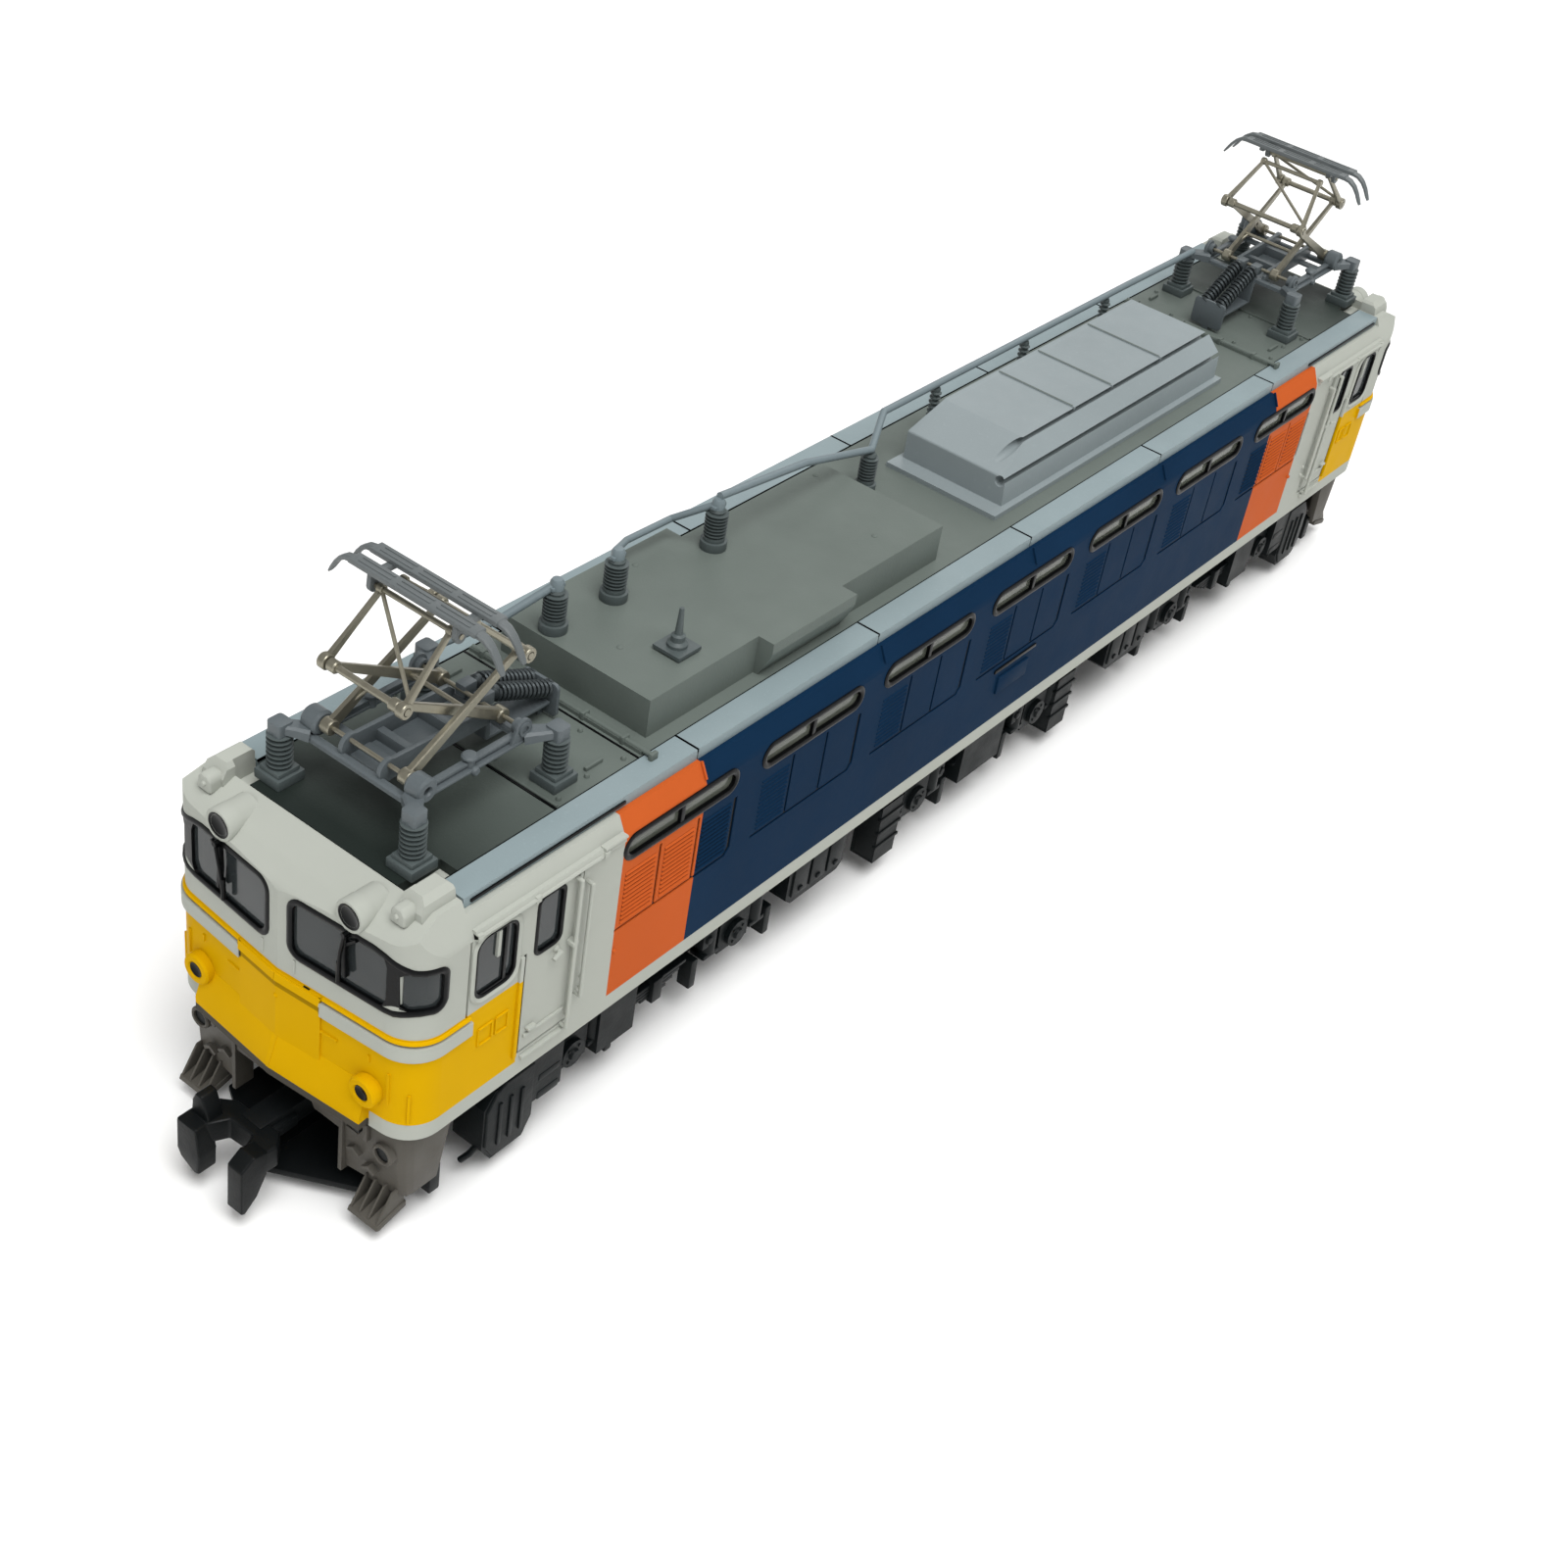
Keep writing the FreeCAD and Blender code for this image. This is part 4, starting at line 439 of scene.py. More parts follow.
def bar_section(half, flat, low, shoulder, top):
    """Section of a bar whose upper edges slope from a shoulder to a narrower flat top."""
    return [(-half, low), (-half, shoulder), (-flat, top), (flat, top), (half, shoulder), (half, low)]


class Piece:
    """Gathers solids, in millimetres, into one named object."""

    def __init__(self):
        self.points = []
        self.faces = []

    def take(self, mesh):
        """Adds a mesh's points and faces, and frees it."""
        start = len(self.points)
        mesh.verts.index_update()
        self.points += [vert.co.copy() for vert in mesh.verts]
        self.faces += [[start + vert.index for vert in face.verts] for face in mesh.faces]
        mesh.free()

    def loft(self, bottom, top, bevel=0.05, segments=2):
        """A solid between two outlines of the same number of points, with bevelled edges."""
        mesh = bmesh.new()
        low = [mesh.verts.new(spot) for spot in bottom]
        high = [mesh.verts.new(spot) for spot in top]
        mesh.faces.new(low[::-1])
        mesh.faces.new(high)
        for index in range(len(low)):
            after = (index + 1) % len(low)
            mesh.faces.new((low[index], low[after], high[after], high[index]))
        bmesh.ops.recalc_face_normals(mesh, faces=mesh.faces)
        if bevel:
            bmesh.ops.bevel(mesh, geom=mesh.edges[:], offset=bevel, segments=segments,
                            profile=0.6, affect="EDGES", clamp_overlap=True)
        self.take(mesh)

    def prism(self, plane, corners, low, high, bevel=0.05, segments=2):
        """An outline in a plane, drawn out between two levels."""
        spot = PLANES[plane]
        self.loft([spot(a, b, low) for a, b in corners], [spot(a, b, high) for a, b in corners],
                  bevel, segments)

    def block(self, x, y, z, bevel=0.05):
        self.prism("xy", [(x[0], y[0]), (x[1], y[0]), (x[1], y[1]), (x[0], y[1])], z[0], z[1], bevel)

    def sweep(self, path, section, normals=(), closed=False, taper=None):
        """A section of (across, outward) offsets carried along a path."""
        spots = [Vector(spot) for spot in path]
        count = len(spots)
        mesh = bmesh.new()
        rings = []
        for index, spot in enumerate(spots):
            last = index == count - 1
            ahead = spots[(index + 1) % count] - spot if closed or not last else None
            behind = spot - spots[index - 1] if closed or index else None
            ahead = (ahead or behind).normalized()
            behind = (behind or ahead).normalized()
            tangent = (ahead + behind).normalized()
            normal = Vector(normals[index]) if normals else UP
            if abs(normal.dot(tangent)) > 0.95:
                normal = LEFT
            normal = (normal - tangent * normal.dot(tangent)).normalized()
            across = tangent.cross(normal)
            stretch = 1 / max(0.5, tangent.dot(ahead))
            size = taper[index] if taper else 1.0
            rings.append([mesh.verts.new(spot + across * (u * size * stretch) + normal * v * size)
                          for u, v in section])
        for index in range(count if closed else count - 1):
            one, two = rings[index], rings[(index + 1) % count]
            for side in range(len(section)):
                after = (side + 1) % len(section)
                mesh.faces.new((one[side], one[after], two[after], two[side]))
        if not closed:
            mesh.faces.new(rings[0][::-1])
            mesh.faces.new(rings[-1])
        bmesh.ops.recalc_face_normals(mesh, faces=mesh.faces)
        self.take(mesh)

    def rod(self, path, radius, sides=12):
        self.sweep(path, ring(radius, sides))

    def lathe(self, axis, spot, profile, sides=28):
        """A profile of (radius, along) turned about an axis through a spot."""
        frames = {"x": (LEFT, UP, Vector((1, 0, 0))), "y": (UP, Vector((1, 0, 0)), LEFT),
                  "z": (Vector((1, 0, 0)), LEFT, UP)}
        one, two, along = frames[axis]
        mesh = bmesh.new()
        rings = []
        for radius, reach in profile:
            middle = Vector(spot) + along * reach
            if radius <= 0:
                rings.append([mesh.verts.new(middle)] * sides)
                continue
            rings.append([mesh.verts.new(middle + one * (radius * math.cos(2 * math.pi * k / sides))
                                         + two * (radius * math.sin(2 * math.pi * k / sides)))
                          for k in range(sides)])
        for low, high in zip(rings, rings[1:]):
            for side in range(sides):
                after = (side + 1) % sides
                corners = [low[side], low[after], high[after], high[side]]
                unique = list(dict.fromkeys(corners))
                if len(unique) > 2:
                    mesh.faces.new(unique)
        bmesh.ops.recalc_face_normals(mesh, faces=mesh.faces)
        self.take(mesh)

    def coil(self, start, end, radius, wire, turns, sides=6):
        """A wound spring between two spots."""
        start, end = Vector(start), Vector(end)
        along = (end - start).normalized()
        one = along.orthogonal().normalized()
        two = along.cross(one)
        steps = int(turns * 14)
        path = []
        for step in range(steps + 1):
            turn = 2 * math.pi * turns * step / steps
            path.append(start.lerp(end, step / steps)
                        + (one * math.cos(turn) + two * math.sin(turn)) * radius)
        self.sweep(path, ring(wire, sides), [along] * len(path))

    def mirror(self, axis):
        """Adds the mirror image of everything so far."""
        flip = Vector((-1, 1, 1)) if axis == "x" else Vector((1, -1, 1))
        start = len(self.points)
        self.points += [point * flip for point in self.points]
        self.faces += [[start + index for index in reversed(face)] for face in self.faces]
        return self

    def turned(self, end):
        """Moves a front-end piece to the rear when end is -1."""
        if end < 0:
            self.points = [Vector((-point.x, point.y, point.z)) for point in self.points]
            self.faces = [face[::-1] for face in self.faces]
        return self

    def make(self, name, look, body=ROOT, replaced=()):
        """Turns what was gathered into an object that rides a body and stands for CAD nodes."""
        mesh = bpy.data.meshes.new(name)
        mesh.from_pydata([point * MM for point in self.points], [], self.faces)
        mesh.polygons.foreach_set("use_smooth", [True] * len(mesh.polygons))
        mesh.set_sharp_from_angle(angle=math.radians(32))
        mesh.materials.append(look)
        thing = bpy.data.objects.new(name, mesh)
        bpy.context.scene.collection.objects.link(thing)
        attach(thing, body)
        if replaced:
            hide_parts(*replaced)


def arc(centre, radius, start, stop, steps=6):
    """Points on a circle between two angles in degrees."""
    spots = []
    for step in range(steps + 1):
        turn = math.radians(start + (stop - start) * step / steps)
        spots.append((centre[0] + radius * math.cos(turn), centre[1] + radius * math.sin(turn)))
    return spots


def rounded(a, b, radius, steps=6):
    """Outline of a rectangle with round corners."""
    return (arc((a[1] - radius, b[0] + radius), radius, -90, 0, steps)
            + arc((a[1] - radius, b[1] - radius), radius, 0, 90, steps)
            + arc((a[0] + radius, b[1] - radius), radius, 90, 180, steps)
            + arc((a[0] + radius, b[0] + radius), radius, 180, 270, steps))


FRONT_RUN = math.hypot(SWEEP, HALF)
TURN = math.acos(SWEEP / FRONT_RUN)
CORNER_CUT = CORNER * math.tan(TURN / 2)
STRAIGHT = FRONT_RUN - CORNER_CUT
ARC_RUN = CORNER * TURN


def on_cab(along, z, lift=0.0):
    """Point and outward normal on the front cab, at a distance round its plan from the middle."""
    side = 1 if along >= 0 else -1
    run = abs(along)
    ahead = Vector((-SWEEP, HALF, 0)).normalized()
    normal = Vector((HALF, SWEEP, 0)).normalized()
    spot = Vector((NOSE, 0, 0)) + ahead * min(run, STRAIGHT)
    if run > STRAIGHT:
        turn = min(run - STRAIGHT, ARC_RUN) / CORNER
        centre = spot - normal * CORNER
        normal = Matrix.Rotation(turn, 3, "Z") @ normal
        spot = centre + normal * CORNER
    if run > STRAIGHT + ARC_RUN:
        spot.x -= run - STRAIGHT - ARC_RUN
    spot += normal * lift
    return Vector((spot.x, spot.y * side, z)), Vector((normal.x, normal.y * side, 0))


def cab_band(piece, route, section, closed=False):
    """Carries a section along a route of (distance, height) over the cab's surface."""
    spots = [on_cab(along, z) for along, z in route]
    piece.sweep([spot for spot, _ in spots], section, [normal for _, normal in spots], closed)


def nose_bar(piece, start, stop, section):
    """A straight bar on the cab between two places (distance, height above the body's floor)."""
    cab_band(piece, [(along, FLOOR + z) for along, z in (start, stop)], section)


def cab_patch(piece, outline, low, high):
    """A thin plate with a given outline lying on the cab's surface."""
    inner, outer = [[on_cab(along, z, lift)[0] for along, z in outline] for lift in (low, high)]
    piece.loft(inner, outer, 0)


def side_band(piece, outline, section):
    """Carries a section round a closed outline of (x, height) on the left side."""
    piece.sweep([(x, HALF, z) for x, z in outline], section, [LEFT] * len(outline), True)


def side_block(piece, x, z, reach, bevel, sunk=0.1):
    """A block on the left side, with z above the body's floor and its reach out from the side."""
    piece.block(x, (HALF - sunk, HALF + reach), (FLOOR + z[0], FLOOR + z[1]), bevel)


def stud(radius):
    """Profile of a small domed fastener."""
    return [(0, 0.16), (0.1, 0.15), (radius, 0.05), (radius, -0.1)]


def resampled(route, step):
    """Adds points so that a route bends smoothly round the corner."""
    result = []
    for (a, b), (c, d) in zip(route, route[1:]):
        parts = max(1, int(math.hypot(c - a, d - b) / step))
        result += [(a + (c - a) * k / parts, b + (d - b) * k / parts) for k in range(parts)]
    return result + [route[-1]]


# ------------ Cab details ------------

# A run of (across, outward) offsets is a section, and PANE and SCREEN are the corner pane and
# windscreen of the cab, whose places are (distance round the cab from its middle, height).

STRIP_SEAMS = (-34.8, -17.4, 0.0, 17.4, 34.8)
SEAL = bar_section(0.19, 0.07, -0.3, 0.04, 0.1)
THIN_SEAL = [(-0.1, -0.3), (-0.1, 0.03), (0.0, 0.07), (0.1, 0.03), (0.1, -0.3)]
FRAME = [(-0.16, -0.1), (-0.16, 0.05), (0.0, 0.16), (0.16, 0.05), (0.16, -0.1)]
SCREEN_TOP = FLOOR + 12.82
PANE_TOP = FLOOR + 12.12
SCREEN_FOOT = FLOOR + 9.0
PANE_FOOT = FLOOR + 9.36
PANE_END = 10.62


def windscreen_seals():
    """Black rubber round each windscreen and its corner pane, with the pillar between them."""
    seal = Piece()
    route = (arc((1.6, SCREEN_FOOT + 0.75), 0.75, 180, 270)
             + [(3.0, SCREEN_FOOT), (5.0, SCREEN_FOOT), (7.2, SCREEN_FOOT), (7.8, SCREEN_FOOT + 0.06),
                (8.6, PANE_FOOT - 0.08), (9.2, PANE_FOOT)]
             + arc((PANE_END - 0.7, PANE_FOOT + 0.7), 0.7, 270, 360)
             + arc((PANE_END - 0.5, PANE_TOP - 0.5), 0.5, 0, 90)
             + [(9.4, PANE_TOP), (8.8, PANE_TOP + 0.04), (8.0, PANE_TOP + 0.3),
                (7.2, SCREEN_TOP - 0.14), (6.4, SCREEN_TOP), (4.0, SCREEN_TOP)]
             + arc((1.6, SCREEN_TOP - 0.75), 0.75, 90, 180))
    cab_band(seal, resampled(route + route[:1], 0.4)[:-1], SEAL, True)
    waist = 7.42
    cab_patch(seal, [(6.6, SCREEN_FOOT), (8.9, SCREEN_FOOT + 0.3), (8.15, SCREEN_FOOT + 0.75),
                     (8.1, PANE_TOP - 0.35), (8.7, PANE_TOP), (8.0, PANE_TOP + 0.3),
                     (6.6, SCREEN_TOP), (7.15, SCREEN_TOP - 0.3), (waist - 0.08, SCREEN_TOP - 0.8),
                     (waist - 0.08, SCREEN_FOOT + 0.8), (7.15, SCREEN_FOOT + 0.3)], -0.3, 0.05)
    seal.block((55.3, 56.85), (7.98, 8.05), (PANE_FOOT + 0.1, PANE_TOP - 0.1), 0.02)
    seal.block((55.25, 55.4), (8.0, 9.3), (PANE_FOOT, PANE_TOP), 0.02)
    seal.mirror("y").mirror("x").make("windscreen_seals", SEAL_AND_SHADOW_BLACK)
    bars = Piece()
    low, high = SCREEN_FOOT + 0.9, SCREEN_TOP - 0.1
    cab_band(bars, [(4.75, low), (4.63, (low + high) / 2), (4.7, high)], plate(0.13, 0.0, 0.3))
    cab_band(bars, [(4.72, SCREEN_TOP - 0.75), (5.4, SCREEN_TOP - 0.1)], plate(0.1, 0.02, 0.22))
    bars.mirror("y").mirror("x").make("screen_wiper_arms", SEAL_AND_SHADOW_BLACK)


def lamps():
    """Lenses and rims of the headlight tubes under the roof and of the tail lamps below."""
    headlight = (NOSE - 0.33, 4.83, FLOOR + 13.96)
    tail_lamp = (NOSE - 0.005, 6.47, FLOOR + 2.86)
    lens = Piece()
    lens.lathe("x", headlight, [(0, -0.12), (0.3, -0.1), (0.56, -0.04), (0.72, 0.03), (0.76, 0.02),
                                (0.76, -0.3), (0, -0.3)])
    lens.lathe("x", tail_lamp, [(0, -0.1), (0.28, -0.08), (0.47, 0.02), (0.5, -0.2), (0, -0.2)])
    lens.mirror("y").mirror("x").make("lamp_lenses", LENS)
    rims = Piece()
    rim = [(0.5, 0.0), (0.56, 0.09), (0.86, 0.07), (0.98, -0.06), (0.98, -0.5), (0.5, -0.5)]
    rims.lathe("x", (NOSE, *tail_lamp[1:]), rim + rim[:1])
    rim = [(0.76, 0.0), (0.8, 0.05), (0.93, 0.04), (0.98, -0.04), (0.98, -0.9), (0.76, -0.9)]
    rims.lathe("x", (NOSE - 0.34, *headlight[1:]), rim + rim[:1])
    rims.mirror("y").mirror("x").make("lamp_rims", PAINT)


def nose_trim():
    """Ledge over the trim bar, slots, bars and small fittings on the cab front and corners, and black strips
    of painted shadow by the middle ledge.
    """
    trim = Piece()
    ledge = [(-0.12, -0.05), (-0.08, 0.09), (0.06, 0.14), (0.1, -0.05)]
    height = FLOOR + 7.2
    cab_band(trim, resampled([(3.2, height), (PANE_END, height), (12.6, height)], 0.3), ledge)
    nose_bar(trim, (0.0, 6.95), (3.15, 6.95), [(-0.3, -0.05), (-0.24, 0.2), (0.24, 0.26), (0.3, -0.05)])
    lip = [(0.0, -0.1), (0.0, 0.66), (-0.92, 0.68), (-3.0, 0.02), (-3.0, -0.1)]
    nose_bar(trim, (-0.2, 0), (6.42, 0), lip)
    bar = [(-0.1, -0.05), (-0.07, 0.1), (0.07, 0.1), (0.1, -0.05)]
    for start, stop in (((3.0, 4.82), (4.25, 4.82)), ((4.84, 1.15), (4.84, 2.35)),
                        ((7.75, 2.5), (7.75, 4.7)), ((8.9, 1.3), (8.9, 3.4)), ((6.4, 4.75), (6.4, 5.2))):
        nose_bar(trim, start, stop, bar)
    nose_bar(trim, (1.2, 7.8), (1.2, 8.7), plate(0.07, -0.05, 0.08))
    for near, far in ((13.3, 14.35), (14.65, 15.55)):
        hatch = [(near, 4.62), (far, 4.62), (far, 5.82), (near, 5.82)]
        for start, stop in zip(hatch, hatch[1:] + hatch[:1]):
            nose_bar(trim, start, stop, plate(0.06, -0.05, 0.09))
    trim.mirror("y")
    for height in (5.5, 1.55):
        trim.lathe("x", (NOSE, 0, FLOOR + height), [(0, 0.22), (0.12, 0.2), (0.2, 0.05), (0.2, -0.14)])
    trim.mirror("x").make("cab_front_trim", PAINT)
    # Painted shadow: thin black strips at the ends of the middle ledge of the nose and a short one above it.
    shadow = Piece()
    for along in (3.05, -3.05):
        nose_bar(shadow, (along, 6.1), (along, 7.25), plate(0.06, -0.05, 0.14))
    nose_bar(shadow, (1.9, 7.3), (2.3, 7.3), plate(0.05, 0.0, 0.1))
    shadow.mirror("x").make("cab_front_shadows", SEAL_AND_SHADOW_BLACK)


def cab_side():
    """Window frames and seals, shut lines with a black strip of painted shadow in the door's front one, door
    fittings, gutters and rivets beside each cab.
    """
    seal = Piece()
    cab_window = rounded((50.1, 53.1), (FLOOR + 8.25, FLOOR + 12.4), 0.78)
    door_window = rounded((46.5, 48.5), (FLOOR + 8.55, FLOOR + 12.55), 0.48)
    side_band(seal, cab_window, THIN_SEAL)
    side_band(seal, door_window, [(u * 1.25, v) for u, v in THIN_SEAL])
    side_block(seal, (50.75, 50.98), (8.4, 12.3), -0.02, 0.03, 0.4)
    # Painted shadow: a black strip sunk in the door's front shut line.
    side_block(seal, (49.14, 49.36), (1.75, 9.14), -0.04, 0.02, 0.16)
    side_block(seal, (50.15, 53.0), (8.2, 8.5), -0.02, 0.05, 0.3)
    seal.block((52.9, 41.0), (8.44, 8.56), (ROOF - 0.42, ROOF - 0.24), 0.02)
    seal.mirror("y").mirror("x").make("cab_side_seals_and_door_shadow", SEAL_AND_SHADOW_BLACK)
    trim = Piece()
    side_band(trim, rounded((49.88, 53.32), (FLOOR + 8.0, FLOOR + 12.65), 0.95), FRAME)
    side_block(trim, (51.3, 51.55), (10.4, 12.2), 0.02, 0.04, 0.3)
    for x, z, reach, bevel in (((49.42, 49.7), (1.7, 9.2), 0.16, 0.06),
                               ((45.25, 45.5), (2.2, 12.7), 0.14, 0.06),
                               ((48.9, 45.7), (2.75, 3.0), 0.12, 0.05),
                               ((49.0, 45.5), (1.15, 1.42), 0.2, 0.06),
                               ((48.75, 48.1), (3.25, 3.45), 0.3, 0.07),
                               ((45.45, 45.95), (7.85, 8.15), 0.5, 0.08)):
        side_block(trim, x, z, reach, bevel)
    trim.rod([(46.75, HALF, FLOOR + 8.0), (46.75, HALF + 0.32, FLOOR + 7.95),
              (47.35, HALF + 0.38, FLOOR + 7.8)], 0.13)
    trim.lathe("y", (46.75, HALF, FLOOR + 8.0), [(0, 0.2), (0.2, 0.18), (0.24, 0.0), (0.24, -0.1)])
    for x, height, radius in ((44.35, 4.5, 0.16), (44.35, 3.75, 0.16), (41.6, 4.6, 0.15)):
        trim.lathe("y", (x, HALF, FLOOR + height), stud(radius), 16)
    gutter = [(-0.16, -0.1), (-0.16, 0.3), (-0.04, 0.34), (0.1, 0.12), (0.18, -0.1)]
    for ahead, back, y, z in ((53.4, 43.9, HALF - 0.02, 12.95), (43.7, 41.9, HALF - 0.06, 13.25)):
        trim.sweep([(ahead, y, FLOOR + z), (back, y, FLOOR + z)], gutter, [LEFT] * 2)
    for x in (43.55, 48.9, 53.2):
        side_block(trim, around(x, 0.2), (12.75, 13.2), 0.3, 0.06, 0.35)
    trim.mirror("y").mirror("x").make("cab_side_trim", PAINT)


def corner_knobs():
    """Rounded fittings in front of the roof corner blocks."""
    knob = Piece()
    knob.prism("yz", [(6.62, FLOOR + 14.3), (6.62, FLOOR + 15.1), (6.85, FLOOR + 15.4),
                      (7.4, FLOOR + 15.4), (7.65, FLOOR + 15.05), (7.65, FLOOR + 14.3)],
               55.7, 56.7, 0.2, 3)
    knob.lathe("x", (56.6, 7.1, FLOOR + 14.85), [(0, 0.25), (0.12, 0.22), (0.2, 0.05), (0.2, -0.2)], 16)
    knob.mirror("y").mirror("x").make("roof_corner_knobs", PAINT)


def side_windows_and_louvres():
    """Black rubber round the seven side windows, mullions, and slats in the side panels."""
    seal = Piece()
    slats = Piece()
    faint = Piece()
    for number in range(-3, 4):
        centre = WINDOW_PITCH * number
        outline = rounded((centre - WINDOW_HALF, centre + WINDOW_HALF), (WINDOW_LOW, WINDOW_HIGH), 0.74)
        side_band(seal, outline, SEAL)
        seal.block(around(centre, 0.17), (HALF - 0.5, HALF + 0.03),
                   (WINDOW_LOW + 0.05, WINDOW_HIGH - 0.05), 0.03)
        end_bay = abs(number) == 3
        piece, rise = (slats, 0.08) if end_bay else (faint, 0.06)
        for panel in (-1, 0, 1) if end_bay else (1,):
            middle = centre + BAY_PANEL * panel
            low, high = middle - BAY_PANEL / 2 + 0.35, middle + BAY_PANEL / 2 - 0.4
            for row in range(SLAT_ROWS):
                z = LOUVRE_LOW + LOUVRE_PITCH * row
                slat = [(HALF - 0.05, z - 0.08), (HALF + rise, z - 0.06), (HALF + rise - 0.04, z),
                        (HALF - 0.05, z + 0.1)]
                piece.prism("yz", slat, low, high, 0)
    seal.block((-2.6, 2.6), (HALF - 0.05, HALF + 0.1), (BAY_LOW - 0.75, BAY_LOW - 0.5), 0.03)
    seal.mirror("y").make("side_window_seals", SEAL_AND_SHADOW_BLACK)
    for piece, name in ((slats, "end_bay_louvres"), (faint, "middle_bay_louvres")):
        piece.mirror("y")
        piece.make(name, PAINT)
    plates = Piece()
    plates.block((-1.9, 1.9), (HALF - 0.05, HALF + 0.14), (FLOOR + 3.5, FLOOR + 4.9), 0.05)
    for x in STRIP_SEAMS:
        plates.sweep([(x, HALF - 0.12, FLOOR + 13.3), (x, HALF - 0.62, FLOOR + 14.3)],
                     plate(0.09, -0.05, 0.1), [LEFT] * 2)
    plates.mirror("y").make("side_plates", PAINT)


def bay_shadows():
    """Black strips of painted shadow along the rear and bottom edges of each bay of removable side panels,
    and between the panels.
    """
    panel_shadow = Piece()
    for number in range(-3, 4):
        centre = WINDOW_PITCH * number
        reach = BAY_PANEL * 1.5
        panel_shadow.prism("xz", [
            (centre + reach, BAY_LOW - 0.18), (centre - reach + 0.2, BAY_LOW - 0.18),
            (centre - reach - 0.18, BAY_LOW + 0.25), (centre - reach - 0.18, BAY_HIGH - 0.32),
            (centre - reach + 0.1, BAY_HIGH - 0.32), (centre - reach + 0.1, BAY_LOW + 0.4),
            (centre - reach + 0.38, BAY_LOW - 0.02), (centre + reach, BAY_LOW - 0.02),
        ], HALF - 0.35, HALF - 0.1, 0)
        for side in (1, -1):
            x = centre + BAY_PANEL / 2 * side
            panel_shadow.block(around(x, 0.09), (HALF - 0.3, HALF - 0.1), (BAY_LOW, BAY_HIGH - 0.02), 0)
    panel_shadow.mirror("y").make("side_panel_shadows", SEAL_AND_SHADOW_BLACK)


windscreen_seals()
lamps()
nose_trim()
cab_side()
corner_knobs()
side_windows_and_louvres()
bay_shadows()

# ------------ Roof details ------------

SHED_COUNT = 7
SQUARE_FOOT = 4
ROUND_FOOT = 20
LINE_POSTS = ((35.2, -2.5), (30.1, -2.4), (21.1, -2.2))
LINE_Z = 28.15


def post_insulator(piece, x, y, foot, top, radius, corners=SQUARE_FOOT):
    """A ribbed post on a bevelled foot, square or round."""
    reach = radius * (1.85 if corners == SQUARE_FOOT else 1.2)
    outline = [(x + reach * math.cos(math.radians(a)), y + reach * math.sin(math.radians(a)))
               for a in (45 + 360 / corners * step for step in range(corners))]
    piece.prism("xy", outline, foot, foot + 0.62, 0.08)
    collar = [(x + (spot[0] - x) * 0.8, y + (spot[1] - y) * 0.8) for spot in outline]
    piece.prism("xy", collar, foot + 0.55, foot + 0.9, 0.1)
    profile = [(radius * 0.9, 0.8)]
    pitch = (top - foot - 1.2) / SHED_COUNT
    for shed in range(SHED_COUNT):
        level = 0.95 + pitch * shed
        profile += [(radius * 0.64, level), (radius * 0.7, level + pitch * 0.25),
                    (radius, level + pitch * 0.45), (radius, level + pitch * 0.62),
                    (radius * 0.66, level + pitch * 0.8)]
    profile += [(radius * 0.74, top - foot - 0.15), (radius * 0.6, top - foot), (0, top - foot)]
    piece.lathe("z", (x, y, foot), [(0, 0.8)] + profile)


def roof_fittings():
    """Seams, rivets, bars and the control rod across the roof plate at each end."""
    seam = Piece()
    for x in (44.6, 37.9):
        seam.block(around(x, 0.07), (-6.7, 6.7), (ROOF - 0.1, ROOF + 0.04), 0)
    for y in (6.74, -6.74):
        seam.block((-STRIP_HIGH.x, STRIP_HIGH.x), around(y, 0.06), (ROOF - 0.1, ROOF + 0.03), 0)
    for x in STRIP_SEAMS:
        for side in (1, -1):
            seam.block(around(x, 0.07), (side * 7.6 - 0.85, side * 7.6 + 0.85),
                       (ROOF - 0.15, ROOF + 0.07), 0)
    seam.mirror("x").make("roof_seams", SEAL_AND_SHADOW_BLACK)
    fit = Piece()
    fit.block((44.35, 44.52), (-6.6, 6.6), (ROOF - 0.05, ROOF + 0.12), 0.04)
    rivet = [(0, 0.2), (0.1, 0.18), (0.16, 0.08), (0.17, -0.1)]
    for x, y in ((43.9, 6.2), (43.9, -6.2), (41.3, 5.9), (38.6, 6.2), (43.9, 1.5), (43.9, -2.0),
                 (38.5, 2.9), (38.5, -2.9), (41.2, -5.9)):
        fit.lathe("z", (x, y, ROOF), rivet, 14)
    fit.block((39.6, 41.0), (5.35, 5.6), (ROOF - 0.05, ROOF + 0.25), 0.08)
    fit.block((39.4, 40.6), (-5.6, -5.35), (ROOF - 0.05, ROOF + 0.25), 0.08)
    fit.rod([(37.4, -6.5, ROOF + 0.25), (37.4, 7.4, ROOF + 0.25)], 0.16)
    for y in (-5.6, -1.4, 2.2, 5.2, 7.3):
        fit.block((37.1, 37.7), around(y, 0.14), (ROOF - 0.05, ROOF + 0.5), 0.08)
    fit.mirror("x").make("roof_fittings", ROOF_GREY)


